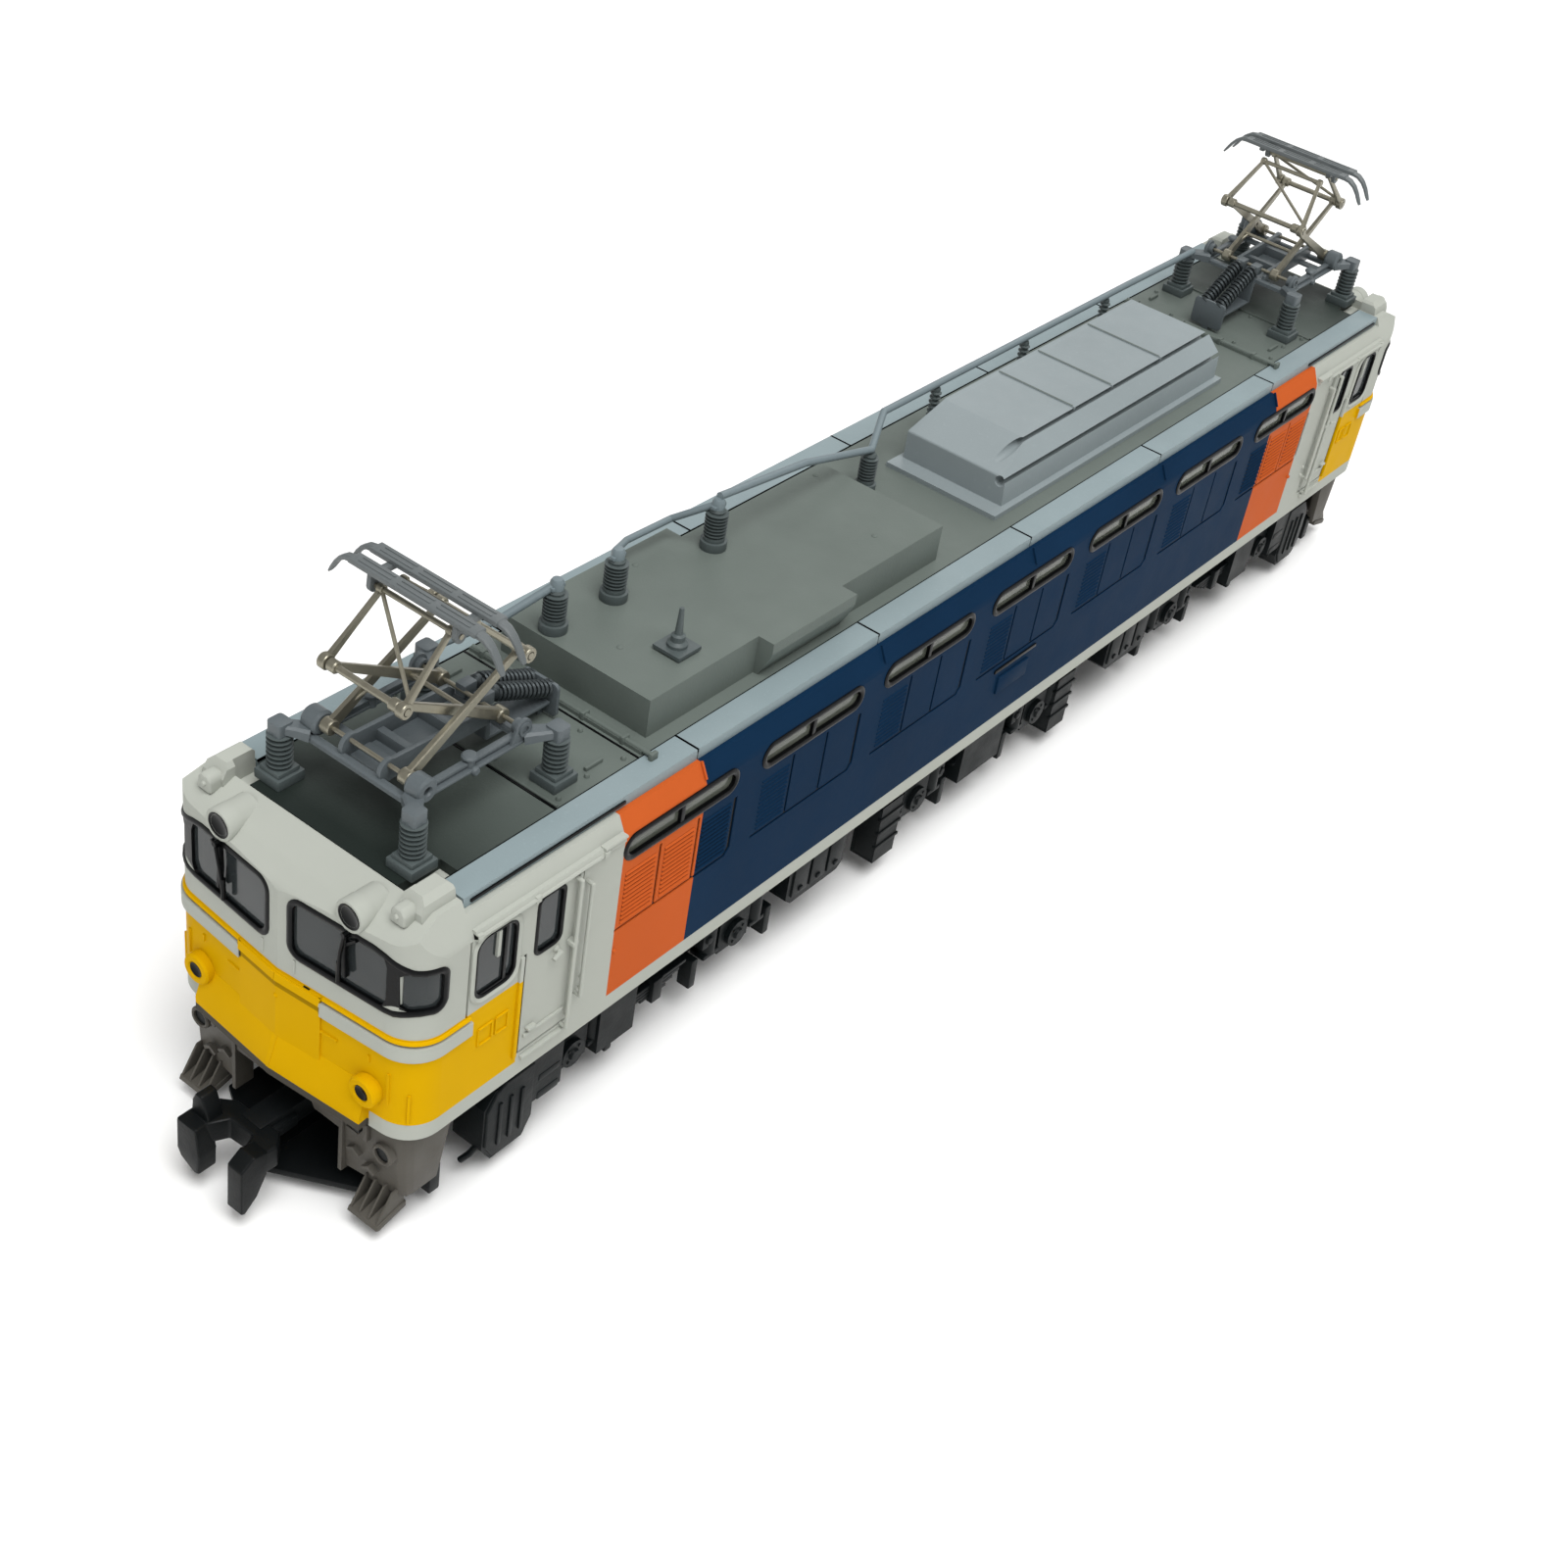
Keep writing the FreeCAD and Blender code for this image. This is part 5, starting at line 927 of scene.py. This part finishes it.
def roof_posts():
    """Ribbed posts of the high-voltage line and the aerial."""
    posts = Piece()
    for x, y in LINE_POSTS:
        post_insulator(posts, x, y, HOUSING_TOP - 0.02, LINE_Z, 0.72, ROUND_FOOT)
    post_insulator(posts, 4.0, -2.6, ROOF, 25.6, 0.62, ROUND_FOOT)
    for x in (-6.0, -17.5, -29.0):
        post_insulator(posts, x, -4.3, ROOF, 26.45, 0.4, ROUND_FOOT)
    posts.make("roof_posts", INSULATOR_GREY, ROOT, ["roof_insulators"])
    caps = Piece()
    for x, y in LINE_POSTS:
        caps.lathe("z", (x, y, LINE_Z - 0.05),
                   [(0, 0.75), (0.3, 0.7), (0.42, 0.5), (0.42, 0.0), (0.5, -0.05)], 18)
        caps.block(around(x, 0.55), around(y, 0.2), (LINE_Z, LINE_Z + 0.25), 0.06)
    caps.make("roof_post_caps", CONDUIT_GREY)


def roof_housing_details():
    """Seams of the ventilator cover and the small marks on the housing lid."""
    lid = Piece()
    for x, y in ((33.6, 1.2), (26.4, -3.9), (12.0, 3.6), (9.0, -3.4)):
        lid.lathe("z", (x, y, HOUSING_TOP), [(0, 0.07), (0.14, 0.06), (0.2, 0.02), (0.2, -0.1)], 14)
    lid.make("roof_housing_details", ROOF_GREY)
    seam = Piece()
    high = low_high("ventilator_cover")[1]
    for x in (-12.0, -17.2, -24.2):
        seam.block(around(x, 0.05), (-3.0, 3.3), (high.z - 0.08, high.z + 0.03), 0.01)
    seam.make("ventilator_cover_seams", ROOF_GREY)


# ------------ Pantographs ------------

# PANTO is the middle of a pantograph, and its pivots, knees and top eyes stand PIVOT_HALF,
# KNEE_HALF and TOP_HALF either side of it. ARM_SIDES gives, for each letter, which way its lower
# bars lean, how far they stand from the middle, how much of the upper bar is drawn and the half
# length of its top bar.

PANTO = 48.3
PIVOT_HALF = 3.7
PIVOT_Z = 26.6
KNEE_HALF = 4.1
KNEE_Z = 30.95
TOP_HALF = 0.7
TOP_Z = 34.04
ARM_SIDES = {"a": (1, 2.2, 1.0, 3.2), "b": (-1, 2.85, 0.93, 2.45)}
HEAD_SIDE = 2.45
RAIL_SIDE = 3.72
RAIL_HALF = 4.35
STAND_SIDE = 4.9
STAND_AHEAD = 5.2
STAND_BEHIND = -5.4
SPRING_SIDE = 0.65
FLAT = bar_section(0.3, 0.24, -0.14, 0.1, 0.16)
SLIM = bar_section(0.17, 0.1, -0.13, 0.1, 0.15)


def pantograph_stands(end, name):
    """Four ribbed posts under a pantograph."""
    stands = Piece()
    for x in (PANTO + STAND_AHEAD, PANTO + STAND_BEHIND):
        post_insulator(stands, x, STAND_SIDE, ROOF, 26.1, 0.72)
    stands.mirror("y")
    stands.turned(end).make("pantograph_stands_" + name, INSULATOR_GREY)


def frame_rail(frame):
    """Left side channel with its bosses, pivot drum and pivot lug."""
    low, high = PANTO - RAIL_HALF, PANTO + RAIL_HALF - 0.5
    frame.block((low, high), (RAIL_SIDE - 0.34, RAIL_SIDE + 0.34), (25.72, 25.9), 0.05)
    frame.block((low, high), (RAIL_SIDE - 0.26, RAIL_SIDE + 0.02), (25.85, 26.25), 0.04)
    for low, high in ((-3.9, -0.3), (0.3, 3.3)):
        frame.block((PANTO + low, PANTO + high), (RAIL_SIDE - 0.3, RAIL_SIDE + 0.1), (26.05, 26.3), 0.07)
    frame.lathe("z", (PANTO, RAIL_SIDE - 0.1, 25.7),
                [(0, 0.95), (0.36, 0.93), (0.46, 0.82), (0.46, 0.72), (0.32, 0.68), (0.32, 0.0), (0, 0)], 20)
    frame.lathe("y", (PANTO - 0.05, RAIL_SIDE + 0.3, 25.72),
                [(0, 0.2), (0.2, 0.18), (0.27, 0.05), (0.27, -0.1)], 16)
    drum = [(0.24, 0.5), (0.3, 0.62), (0.62, 0.62), (0.74, 0.5), (0.74, -0.35), (0.6, -0.5), (0.24, -0.5)]
    frame.lathe("y", (PANTO + PIVOT_HALF, RAIL_SIDE, PIVOT_Z - 0.1), drum + drum[:1])
    pivot = PANTO - PIVOT_HALF
    lug = arc((pivot, PIVOT_Z), 0.62, 0, 180, 8) + [(pivot - 0.75, 25.8), (pivot + 0.95, 25.8)]
    frame.prism("xz", lug, RAIL_SIDE + 0.05, RAIL_SIDE + 0.28, 0.05)
    hub = [(0.24, 0.4), (0.42, 0.4), (0.42, -0.3), (0.24, -0.3)]
    frame.lathe("y", (pivot, RAIL_SIDE, PIVOT_Z), hub + hub[:1], 20)


def frame_arms(frame):
    """Arms from the left side channel to its two posts, each with a square cap on the post."""
    arm = bar_section(0.5, 0.36, -0.3, 0.16, 0.3)
    for shift, root in ((STAND_AHEAD, PANTO + 4.15), (STAND_BEHIND, PANTO - 4.0)):
        x = PANTO + shift
        frame.sweep([(root, RAIL_SIDE, 25.98), ((x + root) / 2, 4.35, 26.1), (x, STAND_SIDE, 26.2)],
                    arm, taper=[1.15, 0.95, 0.85])
        cap = rounded(around(x, 0.52), (STAND_SIDE - 0.52, STAND_SIDE + 0.52), 0.2, 3)
        frame.prism("xy", cap, 25.7, 26.55, 0.1)


def frame_beams(frame):
    """Cross beams, floor plate and spring anchor in the middle of the base frame."""
    frame.block((PANTO - 3.6, PANTO + 3.7), (-1.3, 1.3), (25.5, 25.68), 0.05)
    for x in (PANTO + 1.6, PANTO - 1.4):
        frame.block(around(x, 0.25), (-1.4, 1.4), (25.6, 26.35), 0.08)
    beam = bar_section(0.26, 0.14, -0.16, 0.1, 0.2)
    for x in (PANTO + RAIL_HALF - 0.1, PANTO - RAIL_HALF + 0.35):
        frame.sweep([(x, -RAIL_SIDE - 0.2, 25.75), (x, RAIL_SIDE + 0.2, 25.75)], beam)
    frame.block((PANTO + 2.3, PANTO + 3.1), (-3.5, 3.5), (25.6, 25.78), 0.06)
    frame.block((PANTO - 4.5, PANTO - 4.1), (-0.95, 0.95), (23.95, 26.1), 0.08)
    frame.block((PANTO - 9.3, PANTO - 4.2), (-0.95, 0.95), (23.8, 24.0), 0.06)
    anchor = rounded((-1.35, 1.35), (23.0, 25.15), 0.3, 4)
    frame.prism("yz", anchor, PANTO - 9.62, PANTO - 9.38, 0.06)
    frame.block((PANTO - 9.6, PANTO - 9.1), (-0.3, 0.3), (ROOF, 23.9), 0.06)
    for y in (-SPRING_SIDE, SPRING_SIDE):
        frame.block((PANTO - 4.6, PANTO - 3.6), around(y, 0.36), (26.2, 27.0), 0.1)


def pantograph_frame(end, name):
    """Base frame: side channels, bosses, lugs, support arms, cross beams and spring anchor."""
    frame = Piece()
    frame_rail(frame)
    frame_arms(frame)
    nose = arc((PANTO + 3.6, 26.2), 0.72, -20, 120, 8)
    cheek = nose + [(PANTO - 3.4, 26.62), (PANTO - 3.9, 26.2), (PANTO - 3.9, 25.55), (PANTO + 3.9, 25.55)]
    frame.prism("xz", cheek, 1.25, 1.55, 0.05)
    frame.mirror("y")
    frame_beams(frame)
    frame.turned(end).make("pantograph_frame_" + name, FRAME_GREY, ROOT, ["pantograph_base_" + name])


def pantograph_coils():
    """Two raising springs on each pantograph, wound from wire, on their rods."""
    coils = Piece()
    for y in (-SPRING_SIDE, SPRING_SIDE):
        start, stop = (PANTO - 9.4, y, 24.7), (PANTO - 4.9, y, 26.6)
        coils.coil(start, stop, 0.42, 0.13, 13)
        coils.rod([start, stop], 0.16)
        coils.lathe("x", stop, [(0, 0.35), (0.3, 0.3), (0.44, 0.1), (0.44, -0.15), (0, -0.15)], 16)
    coils.mirror("x").make("pantograph_coils", SPRING_STEEL, ROOT, ["pantograph_springs"])


def boss(radius, half, side, face):
    """Profile of a round boss, its edges broken by so much on the side and on the face."""
    return [(0, half), (radius - side, half), (radius, half - face), (radius, face - half),
            (radius - side, -half), (0, -half)]


def between(low, high, share):
    """The place at a given share of the way between two others."""
    return tuple(a + (b - a) * share for a, b in zip(low, high))


def cross_rod(piece, spot, half, radius, sides):
    """A rod across the locomotive, level with a spot."""
    piece.rod([(spot[0], -half, spot[2]), (spot[0], half, spot[2])], radius, sides)


def lower_arm(letter, end, name):
    """Flat tapered bars from the base pivot to the knee, with shaft, bosses and knee tube."""
    toward, y, _, _ = ARM_SIDES[letter]
    arm = Piece()
    pivot = (PANTO - PIVOT_HALF * toward, y, PIVOT_Z)
    knee = (PANTO + KNEE_HALF * toward, y, KNEE_Z)
    arm.sweep([pivot, between(pivot, knee, 0.5), knee], FLAT, [LEFT] * 3, taper=[1.2, 0.95, 0.75])
    arm.lathe("y", pivot, boss(0.46, 0.34, 0.06, 0.08), 20)
    arm.lathe("y", knee, boss(0.36, 0.3, 0.06, 0.08), 20)
    side_low, side_high = between(pivot, knee, 0.18), between(pivot, knee, 0.3)
    arm.rod([side_low, (side_high[0], y - 0.28, side_high[2])], 0.1, 8)
    arm.mirror("y")
    cross_rod(arm, pivot, 3.95, 0.13, 14)
    cross_rod(arm, knee, y + 0.85, 0.2, 14)
    if letter == "a":
        cross_rod(arm, between(pivot, knee, 0.3), y, 0.14, 10)
    node = "lower_arm_%s_%s" % (letter, name)
    arm.turned(end).make("lower_bars_%s_%s" % (letter, name), ARM_METAL, node, [node])


def upper_frame(letter, end, name):
    """Slim bars from the knee to the head, with eyes, a diagonal brace and a top bar."""
    toward, y, reach, tie = ARM_SIDES[letter]
    arm = Piece()
    knee = (PANTO + KNEE_HALF * toward, y + 0.58, KNEE_Z)
    top = (PANTO + TOP_HALF * toward, HEAD_SIDE, TOP_Z)
    start, stop = between(knee, top, 0.04), between(knee, top, reach)
    arm.sweep([start, between(knee, top, 0.5), stop], SLIM, [LEFT] * 3, taper=[1.25, 1.0, 0.9])
    eye = [(0.25, 0.24), (0.42, 0.24), (0.46, 0.18), (0.46, -0.18), (0.42, -0.24), (0.25, -0.24)]
    arm.lathe("y", knee, eye + eye[:1], 20)
    arm.lathe("y", stop, boss(0.28, 0.2, 0.04, 0.06), 16)
    arm.mirror("y")
    low = between(knee, top, 0.12)
    arm.sweep([low, (stop[0], -stop[1], stop[2])], ring(0.12, 8))
    cross_rod(arm, stop, tie, 0.16, 12)
    node = "upper_frame_%s_%s" % (letter, name)
    arm.turned(end).make("upper_bars_%s_%s" % (letter, name), ARM_METAL, node, [node])


def collector_head(end, name):
    """Two slotted contact strips with curved horns, carried on hangers."""
    head = Piece()
    top = low_high("collector_head_front")[1].z
    reach = 4.45
    strip = bar_section(0.24, 0.14, -0.1, 0.06, 0.13)
    for x in (PANTO - 0.76, PANTO + 0.76):
        head.prism("yz", [(-reach, top - 0.3), (reach, top - 0.3), (reach, top - 0.06),
                          (reach - 0.06, top), (-reach + 0.06, top), (-reach, top - 0.06)],
                   x - 0.42, x + 0.42, 0.05)
        for y in (-2.75, 0, 2.75):
            for slot in around(x, 0.17):
                head.block(around(slot, 0.05), around(y, 1.15), (top - 0.1, top + 0.05), 0.02)
        for side in (1, -1):
            horn = [(x, side * (reach + out), top - drop)
                    for out, drop in ((-0.3, 0.16), (0.4, 0.28), (0.85, 0.58), (1.2, 1.0), (1.5, 1.5),
                                      (1.68, 1.78))]
            head.sweep(horn, strip, taper=[1.3, 1.15, 1.0, 0.9, 0.8, 0.55])
    hanger_x = PANTO + TOP_HALF
    hanger = (arc((hanger_x, TOP_Z), 0.42, 180, 360, 8)
              + [(hanger_x + 0.36, top - 0.3), (hanger_x - 0.36, top - 0.3)])
    for y in (HEAD_SIDE + 0.55, -HEAD_SIDE - 0.55):
        head.block((PANTO - 0.95, PANTO + 0.95), around(y, 0.2), (top - 0.62, top - 0.27), 0.06)
        head.prism("xz", hanger, y - 0.15, y + 0.15, 0.04)
    node = "collector_head_" + name
    head.turned(end).make("contact_strips_" + name, HEAD_GREY, node, [node])


roof_fittings()
roof_posts()
roof_housing_details()
pantograph_coils()
for end, name in ((1, "front"), (-1, "rear")):
    pantograph_stands(end, name)
    pantograph_frame(end, name)
    collector_head(end, name)
    for letter in ("a", "b"):
        lower_arm(letter, end, name)
        upper_frame(letter, end, name)

# ------------ Skirts, couplers, bogies ------------

AXLE_Z = 4.63
SIDE_FACE = 7.3


def end_skirt(end, name):
    """Apron with side returns, notch, sockets, hooks and ribbed footsteps, with black hose fittings and
    black pieces of painted shadow under the skirt.
    """
    skirt = Piece()
    top = [(4.25, 57.25), (8.0, 56.9), (8.45, 56.6), (8.6, 56.1), (8.6, 53.0), (7.9, 53.0),
           (7.9, 56.0), (4.25, 56.2)]
    foot = [(4.25, 57.0), (8.0, 56.5), (8.4, 56.25), (8.5, 55.8), (8.5, 54.0), (7.9, 54.0),
            (7.9, 55.6), (4.25, 55.9)]
    skirt.loft([(x, y, 2.75) for y, x in foot], [(x, y, FLOOR) for y, x in top], 0.07)
    skirt.prism("yz", [(0, 6.1), (1.9, 6.1), (2.1, 5.7), (4.4, 5.7), (4.4, FLOOR), (0, FLOOR)],
                56.1, 57.25, 0.05)
    skirt.block((56.0, 57.35), (4.15, 4.45), (2.55, FLOOR), 0.05)
    skirt.prism("xz", [(55.9, 1.95), (58.05, 1.4), (58.15, 1.1), (57.9, 0.98), (55.9, 1.5)],
                5.8, 8.1, 0.07)
    for y in (5.95, 6.6, 7.3, 7.95):
        skirt.prism("xz", [(56.0, 3.2), (56.9, 3.2), (58.0, 1.5), (57.9, 1.2), (56.0, 1.6)],
                    y - 0.07, y + 0.07, 0.03)
    face = 57.05
    for y, z in ((5.1, 6.3), (3.0, 6.8)):
        skirt.block((face - 0.2, face + 0.26), around(y, 0.45), around(z, 0.08), 0.04)
    hook = [(-0.1, -0.15), (-0.1, 0.25), (0.1, 0.25), (0.1, -0.15)]
    for y, z in ((5.2, 4.9), (6.4, 4.3)):
        skirt.sweep([(face, y - 0.45, z - 0.3), (face, y, z), (face, y + 0.45, z - 0.3)], hook,
                    [(1, 0, 0)] * 3)
    socket = [(0.5, -0.2), (0.5, 0.3), (0.62, 0.34), (0.72, 0.26), (0.72, -0.2)]
    skirt.lathe("x", (face - 0.15, 7.3, 5.9), socket)
    skirt.block((face - 0.2, face + 0.25), (5.9, 6.25), (6.2, 7.5), 0.06)
    skirt.mirror("y")
    skirt.turned(end).make("end_apron_" + name, SKIRT_GREY, ROOT, ["end_skirt_" + name])
    hoses_and_shadow_plate = Piece()
    hoses_and_shadow_plate.lathe("x", (face - 0.1, 7.3, 5.9), [(0, 0.12), (0.48, 0.12), (0.48, -0.2), (0, -0.2)])
    hoses_and_shadow_plate.block((56.9, 57.35), (5.1, 5.7), (6.5, 7.3), 0.08)
    # Painted shadow: a black plate under the coupler and a black block behind the footsteps stand in for the
    # shade seen below the skirt.
    hoses_and_shadow_plate.prism("xy", [(59.7, 0), (56.7, 5.5), (53.4, 5.5), (53.4, 0)], 1.0, 1.45, 0.08)
    hoses_and_shadow_plate.block((53.4, 54.2), (5.0, 8.2), (1.1, 3.2), 0.1)
    hoses_and_shadow_plate.mirror("y")
    hoses_and_shadow_plate.turned(end).make("brake_hoses_and_shadow_plate_" + name, BLACK)


def coupler(end, name):
    """Hook coupler with rounded prongs."""
    hook = Piece()
    pivot = low_high("coupler_front")[0].x + 1.0
    head = 59.4
    hook.block((pivot - 0.7, head + 0.5), (-0.8, 0.8), (3.5, 5.0), 0.14)
    hook.lathe("y", (pivot - 0.4, 0, 4.2), boss(0.6, 1.3, 0.1, 0.1))
    hook.prism("xy", [(head - 0.2, -1.8), (head + 0.6, -2.9), (head + 2.2, -3.1), (head + 2.3, -1.6),
                      (head + 1.1, -1.0), (head + 1.0, 0.7), (head + 1.8, 1.0), (head + 1.8, 2.2),
                      (head + 0.6, 2.3), (head - 0.2, 1.6)], 3.3, 4.9, 0.18, 3)
    hook.prism("yz", [(-3.15, 4.85), (-3.2, 2.5), (-2.9, 1.95), (-1.75, 1.35), (-1.4, 1.5),
                      (-1.35, 2.9), (-1.6, 4.85)], head + 1.7, head + 3.0, 0.18, 3)
    hook.prism("xz", [(head + 3.1, 4.5), (head + 3.15, 1.25), (head + 2.9, 1.1), (head + 2.0, 1.9),
                      (head + 1.3, 3.2), (head + 1.2, 4.9), (head + 2.2, 5.1)], 1.05, 2.25, 0.16, 3)
    hook.prism("yz", [(-3.0, 4.6), (-2.9, 5.8), (-2.6, 6.45), (-2.1, 6.4), (-1.7, 5.4), (-1.5, 4.6)],
               head + 1.0, head + 2.1, 0.16, 3)
    hook.block((head - 2.0, head - 0.1), (-1.1, 1.1), (3.75, 4.6), 0.12)
    node = "coupler_" + name
    hook.turned(end).make("hook_" + name, BLACK, node, [node])


def axle_box(dress, coils, x):
    """Axle box with its bolted cap, coil springs on their seats, and brake blocks."""
    dress.block(around(x, 1.35), (SIDE_FACE - 0.2, SIDE_FACE + 0.7), (3.7, 5.8), 0.14)
    dress.lathe("y", (x, SIDE_FACE + 0.95, AXLE_Z),
                [(0, 0.5), (0.35, 0.48), (0.42, 0.3), (0.72, 0.28), (0.82, 0.18), (0.82, -0.4)])
    for turn in (45, 135, 225, 315):
        along, up = 0.62 * math.cos(math.radians(turn)), 0.62 * math.sin(math.radians(turn))
        bolt = (x + along, SIDE_FACE + 1.22, AXLE_Z + up)
        dress.lathe("y", bolt, [(0, 0.12), (0.1, 0.1), (0.13, -0.1)], 8)
    dress.block(around(x, 1.55), (SIDE_FACE - 0.1, SIDE_FACE + 0.5), (5.85, 6.3), 0.1)
    for spring in around(x, 2.3):
        coils.coil((spring, SIDE_FACE + 0.42, 4.35), (spring, SIDE_FACE + 0.42, 6.5), 0.5, 0.13, 4.5)
        for seat in ((6.5, 6.8), (3.95, 4.3)):
            dress.block(around(spring, 0.75), (SIDE_FACE - 0.1, SIDE_FACE + 1.05), seat, 0.08)
    for brake in around(x, 3.726):
        dress.block(around(brake, 0.3), (SIDE_FACE - 0.1, SIDE_FACE + 0.9), (2.1, 4.4), 0.1)


def leaf_spring(dress, centre):
    """Leaf spring with its buckle, the pipe above it and its two hangers."""
    for z, half in ((5.0, 3.0), (4.72, 2.4), (4.44, 1.8), (4.16, 1.2)):
        dress.block(around(centre, half), (SIDE_FACE + 0.1, SIDE_FACE + 0.85), around(z, 0.12), 0.04)
    dress.block(around(centre, 0.45), (SIDE_FACE, SIDE_FACE + 1.15), (3.75, 5.5), 0.1)
    dress.rod([(centre - 5.2, SIDE_FACE + 0.5, 6.95), (centre + 5.2, SIDE_FACE + 0.5, 6.95)], 0.18, 8)
    for x in around(centre, 4.9):
        dress.block(around(x, 0.5), (SIDE_FACE, SIDE_FACE + 1.0), (4.9, 6.4), 0.12)
        dress.lathe("y", (x, SIDE_FACE + 1.0, 5.6), [(0, 0.2), (0.25, 0.16), (0.32, 0.0), (0.32, -0.1)], 14)


def sand_box(dress, centre):
    """Ribbed sand box with its filler and pipe, and a ladder, at the outer end of a powered bogie."""
    x = centre + 13.35
    outline = [(x - 1.9, 6.9), (x - 1.9, 2.6), (x - 1.3, 1.45), (x + 1.2, 1.45), (x + 1.9, 2.6),
               (x + 1.9, 5.4), (x + 1.2, 6.5), (x + 0.4, 6.9)]
    dress.prism("xz", outline, SIDE_FACE - 0.3, SIDE_FACE + 1.6, 0.16, 3)
    for rib in (x - 0.9, x, x + 0.9):
        dress.block(around(rib, 0.14), (SIDE_FACE + 1.45, SIDE_FACE + 1.72), (2.3, 5.6), 0.06)
    dress.lathe("z", (x - 0.4, SIDE_FACE + 0.6, 6.7), [(0, 0.5), (0.5, 0.48), (0.6, 0.35), (0.6, 0)], 16)
    dress.rod([(x + 1.6, SIDE_FACE + 1.0, 2.6), (x + 2.3, SIDE_FACE + 0.8, 1.9),
               (x + 2.6, SIDE_FACE + 0.4, 1.3)], 0.2, 8)
    for rung in ((3.4, 4.0), (4.9, 5.4)):
        dress.block((centre + 9.2, centre + 11.0), (SIDE_FACE, SIDE_FACE + 1.55), rung, 0.1)
    for rail in (centre + 9.35, centre + 10.85):
        dress.rod([(rail, SIDE_FACE + 1.2, 3.6), (rail, SIDE_FACE + 1.2, 7.6)], 0.14, 8)


def air_tanks(dress, centre):
    """Banded boxes beyond both ends of the middle bogie."""
    for x in around(centre, 11.2):
        dress.block(around(x, 1.3), (SIDE_FACE - 0.3, SIDE_FACE + 1.25), (1.9, 6.2), 0.16)
        for z in (3.0, 4.2, 5.4):
            dress.block(around(x, 1.35), (SIDE_FACE + 1.1, SIDE_FACE + 1.4), around(z, 0.12), 0.05)


def bogie_dress(name, end):
    """Everything added to both sides of a bogie."""
    dress = Piece()
    coils = Piece()
    axles = BOGIES["middle" if name == "middle" else "front"]
    centre = sum(axles) / 2
    for x in axles:
        axle_box(dress, coils, x)
    leaf_spring(dress, centre)
    (air_tanks if name == "middle" else sand_box)(dress, centre)
    for piece, label in ((dress, "bogie_fittings_"), (coils, "bogie_coils_")):
        piece.mirror("y").turned(end).make(label + name, BOGIE_BLACK, "bogie_" + name)


def underfloor_details():
    """Covers, latches and pipes on the equipment between the bogies."""
    gear = Piece()
    side = low_high("underfloor_boxes")[1].y
    for centre in (19.85, -19.85):
        for x in (centre - 1.9, centre, centre + 1.9):
            gear.block(around(x, 0.8), (side - 0.15, side + 0.14), (4.7, 7.2), 0.08)
            gear.block(around(x, 0.2), (side, side + 0.26), (5.0, 5.3), 0.06)
        gear.rod([(centre - 3.6, side - 0.1, 7.5), (centre + 3.6, side - 0.1, 7.5)], 0.15, 8)
    gear.mirror("y").make("underfloor_fittings", BOGIE_BLACK)


underfloor_details()
for end, name in ((1, "front"), (-1, "rear")):
    end_skirt(end, name)
    coupler(end, name)
for name, end in (("front", 1), ("middle", 1), ("rear", -1)):
    bogie_dress(name, end)

# ------------ Floor, lights and camera, with lamp places and sizes in metres ------------

BODY_MIDDLE = Vector((0, 0, 0.01))


def add_floor():
    """A pale level floor that reaches past the view."""
    shader = Shader("pale_floor")
    shader.set(Base_Color=mottled(shader, srgb(250, 250, 249), 0.005, 0.01))
    shader.set(Roughness=shader.span(shader.noise(0.05, 3.0), 0.3, 0.7, 0.6, 0.7))
    mesh = bpy.data.meshes.new("floor")
    reach = 3.0
    mesh.from_pydata([(-reach, -reach, 0), (reach, -reach, 0), (reach, reach, 0),
                      (-reach, reach, 0)], [], [(0, 1, 2, 3)])
    floor = bpy.data.objects.new("floor", mesh)
    floor.data.materials.append(shader.material)
    bpy.context.scene.collection.objects.link(floor)


def add_light(name, place, size, watts):
    """A soft rectangular lamp aimed at the middle of the body."""
    lamp = bpy.data.lights.new(name, "AREA")
    lamp.shape = "RECTANGLE"
    lamp.size, lamp.size_y = size
    lamp.energy = watts
    holder = bpy.data.objects.new(name, lamp)
    holder.location = place
    holder.rotation_euler = (BODY_MIDDLE - Vector(place)).to_track_quat("-Z", "Y").to_euler()
    bpy.context.scene.collection.objects.link(holder)


def add_world():
    """A weak even sky, which fills the shadows."""
    world = bpy.data.worlds.new("soft_sky")
    world.use_nodes = True
    background = world.node_tree.nodes["Background"]
    background.inputs["Color"].default_value = (1.0, 1.0, 1.0, 1.0)
    background.inputs["Strength"].default_value = 0.26
    bpy.context.scene.world = world


def add_camera():
    """The camera stands ahead of the left front corner, about 37 degrees above the roof."""
    camera = bpy.data.cameras.new("camera")
    camera.lens = 51.3
    camera.sensor_width = 36.0
    camera.clip_start = 0.005
    holder = bpy.data.objects.new("camera", camera)
    right = Vector((-0.60952, 0.78008, 0.14129))
    up = Vector((-0.41466, -0.46560, 0.78185))
    back = -Vector((-0.67569, -0.41796, -0.60725))
    rotation = Matrix((right, up, back)).transposed().to_4x4()
    spot = Vector((117.04, 65.25, FLOOR + 89.89)) * MM
    holder.matrix_world = Matrix.Translation(spot) @ rotation
    bpy.context.scene.collection.objects.link(holder)
    bpy.context.scene.camera = holder


add_floor()
bpy.context.scene.view_settings.view_transform = "Standard"
add_world()
add_light("key", (0.16, 0.24, 0.70), (0.5, 0.5), 6.2)
add_light("front", (0.62, 0.02, 0.26), (0.4, 0.3), 0.7)
add_light("side", (-0.05, 0.62, 0.22), (0.7, 0.3), 0.35)
add_light("back", (-0.48, -0.12, 0.42), (0.6, 0.4), 1.3)
add_camera()
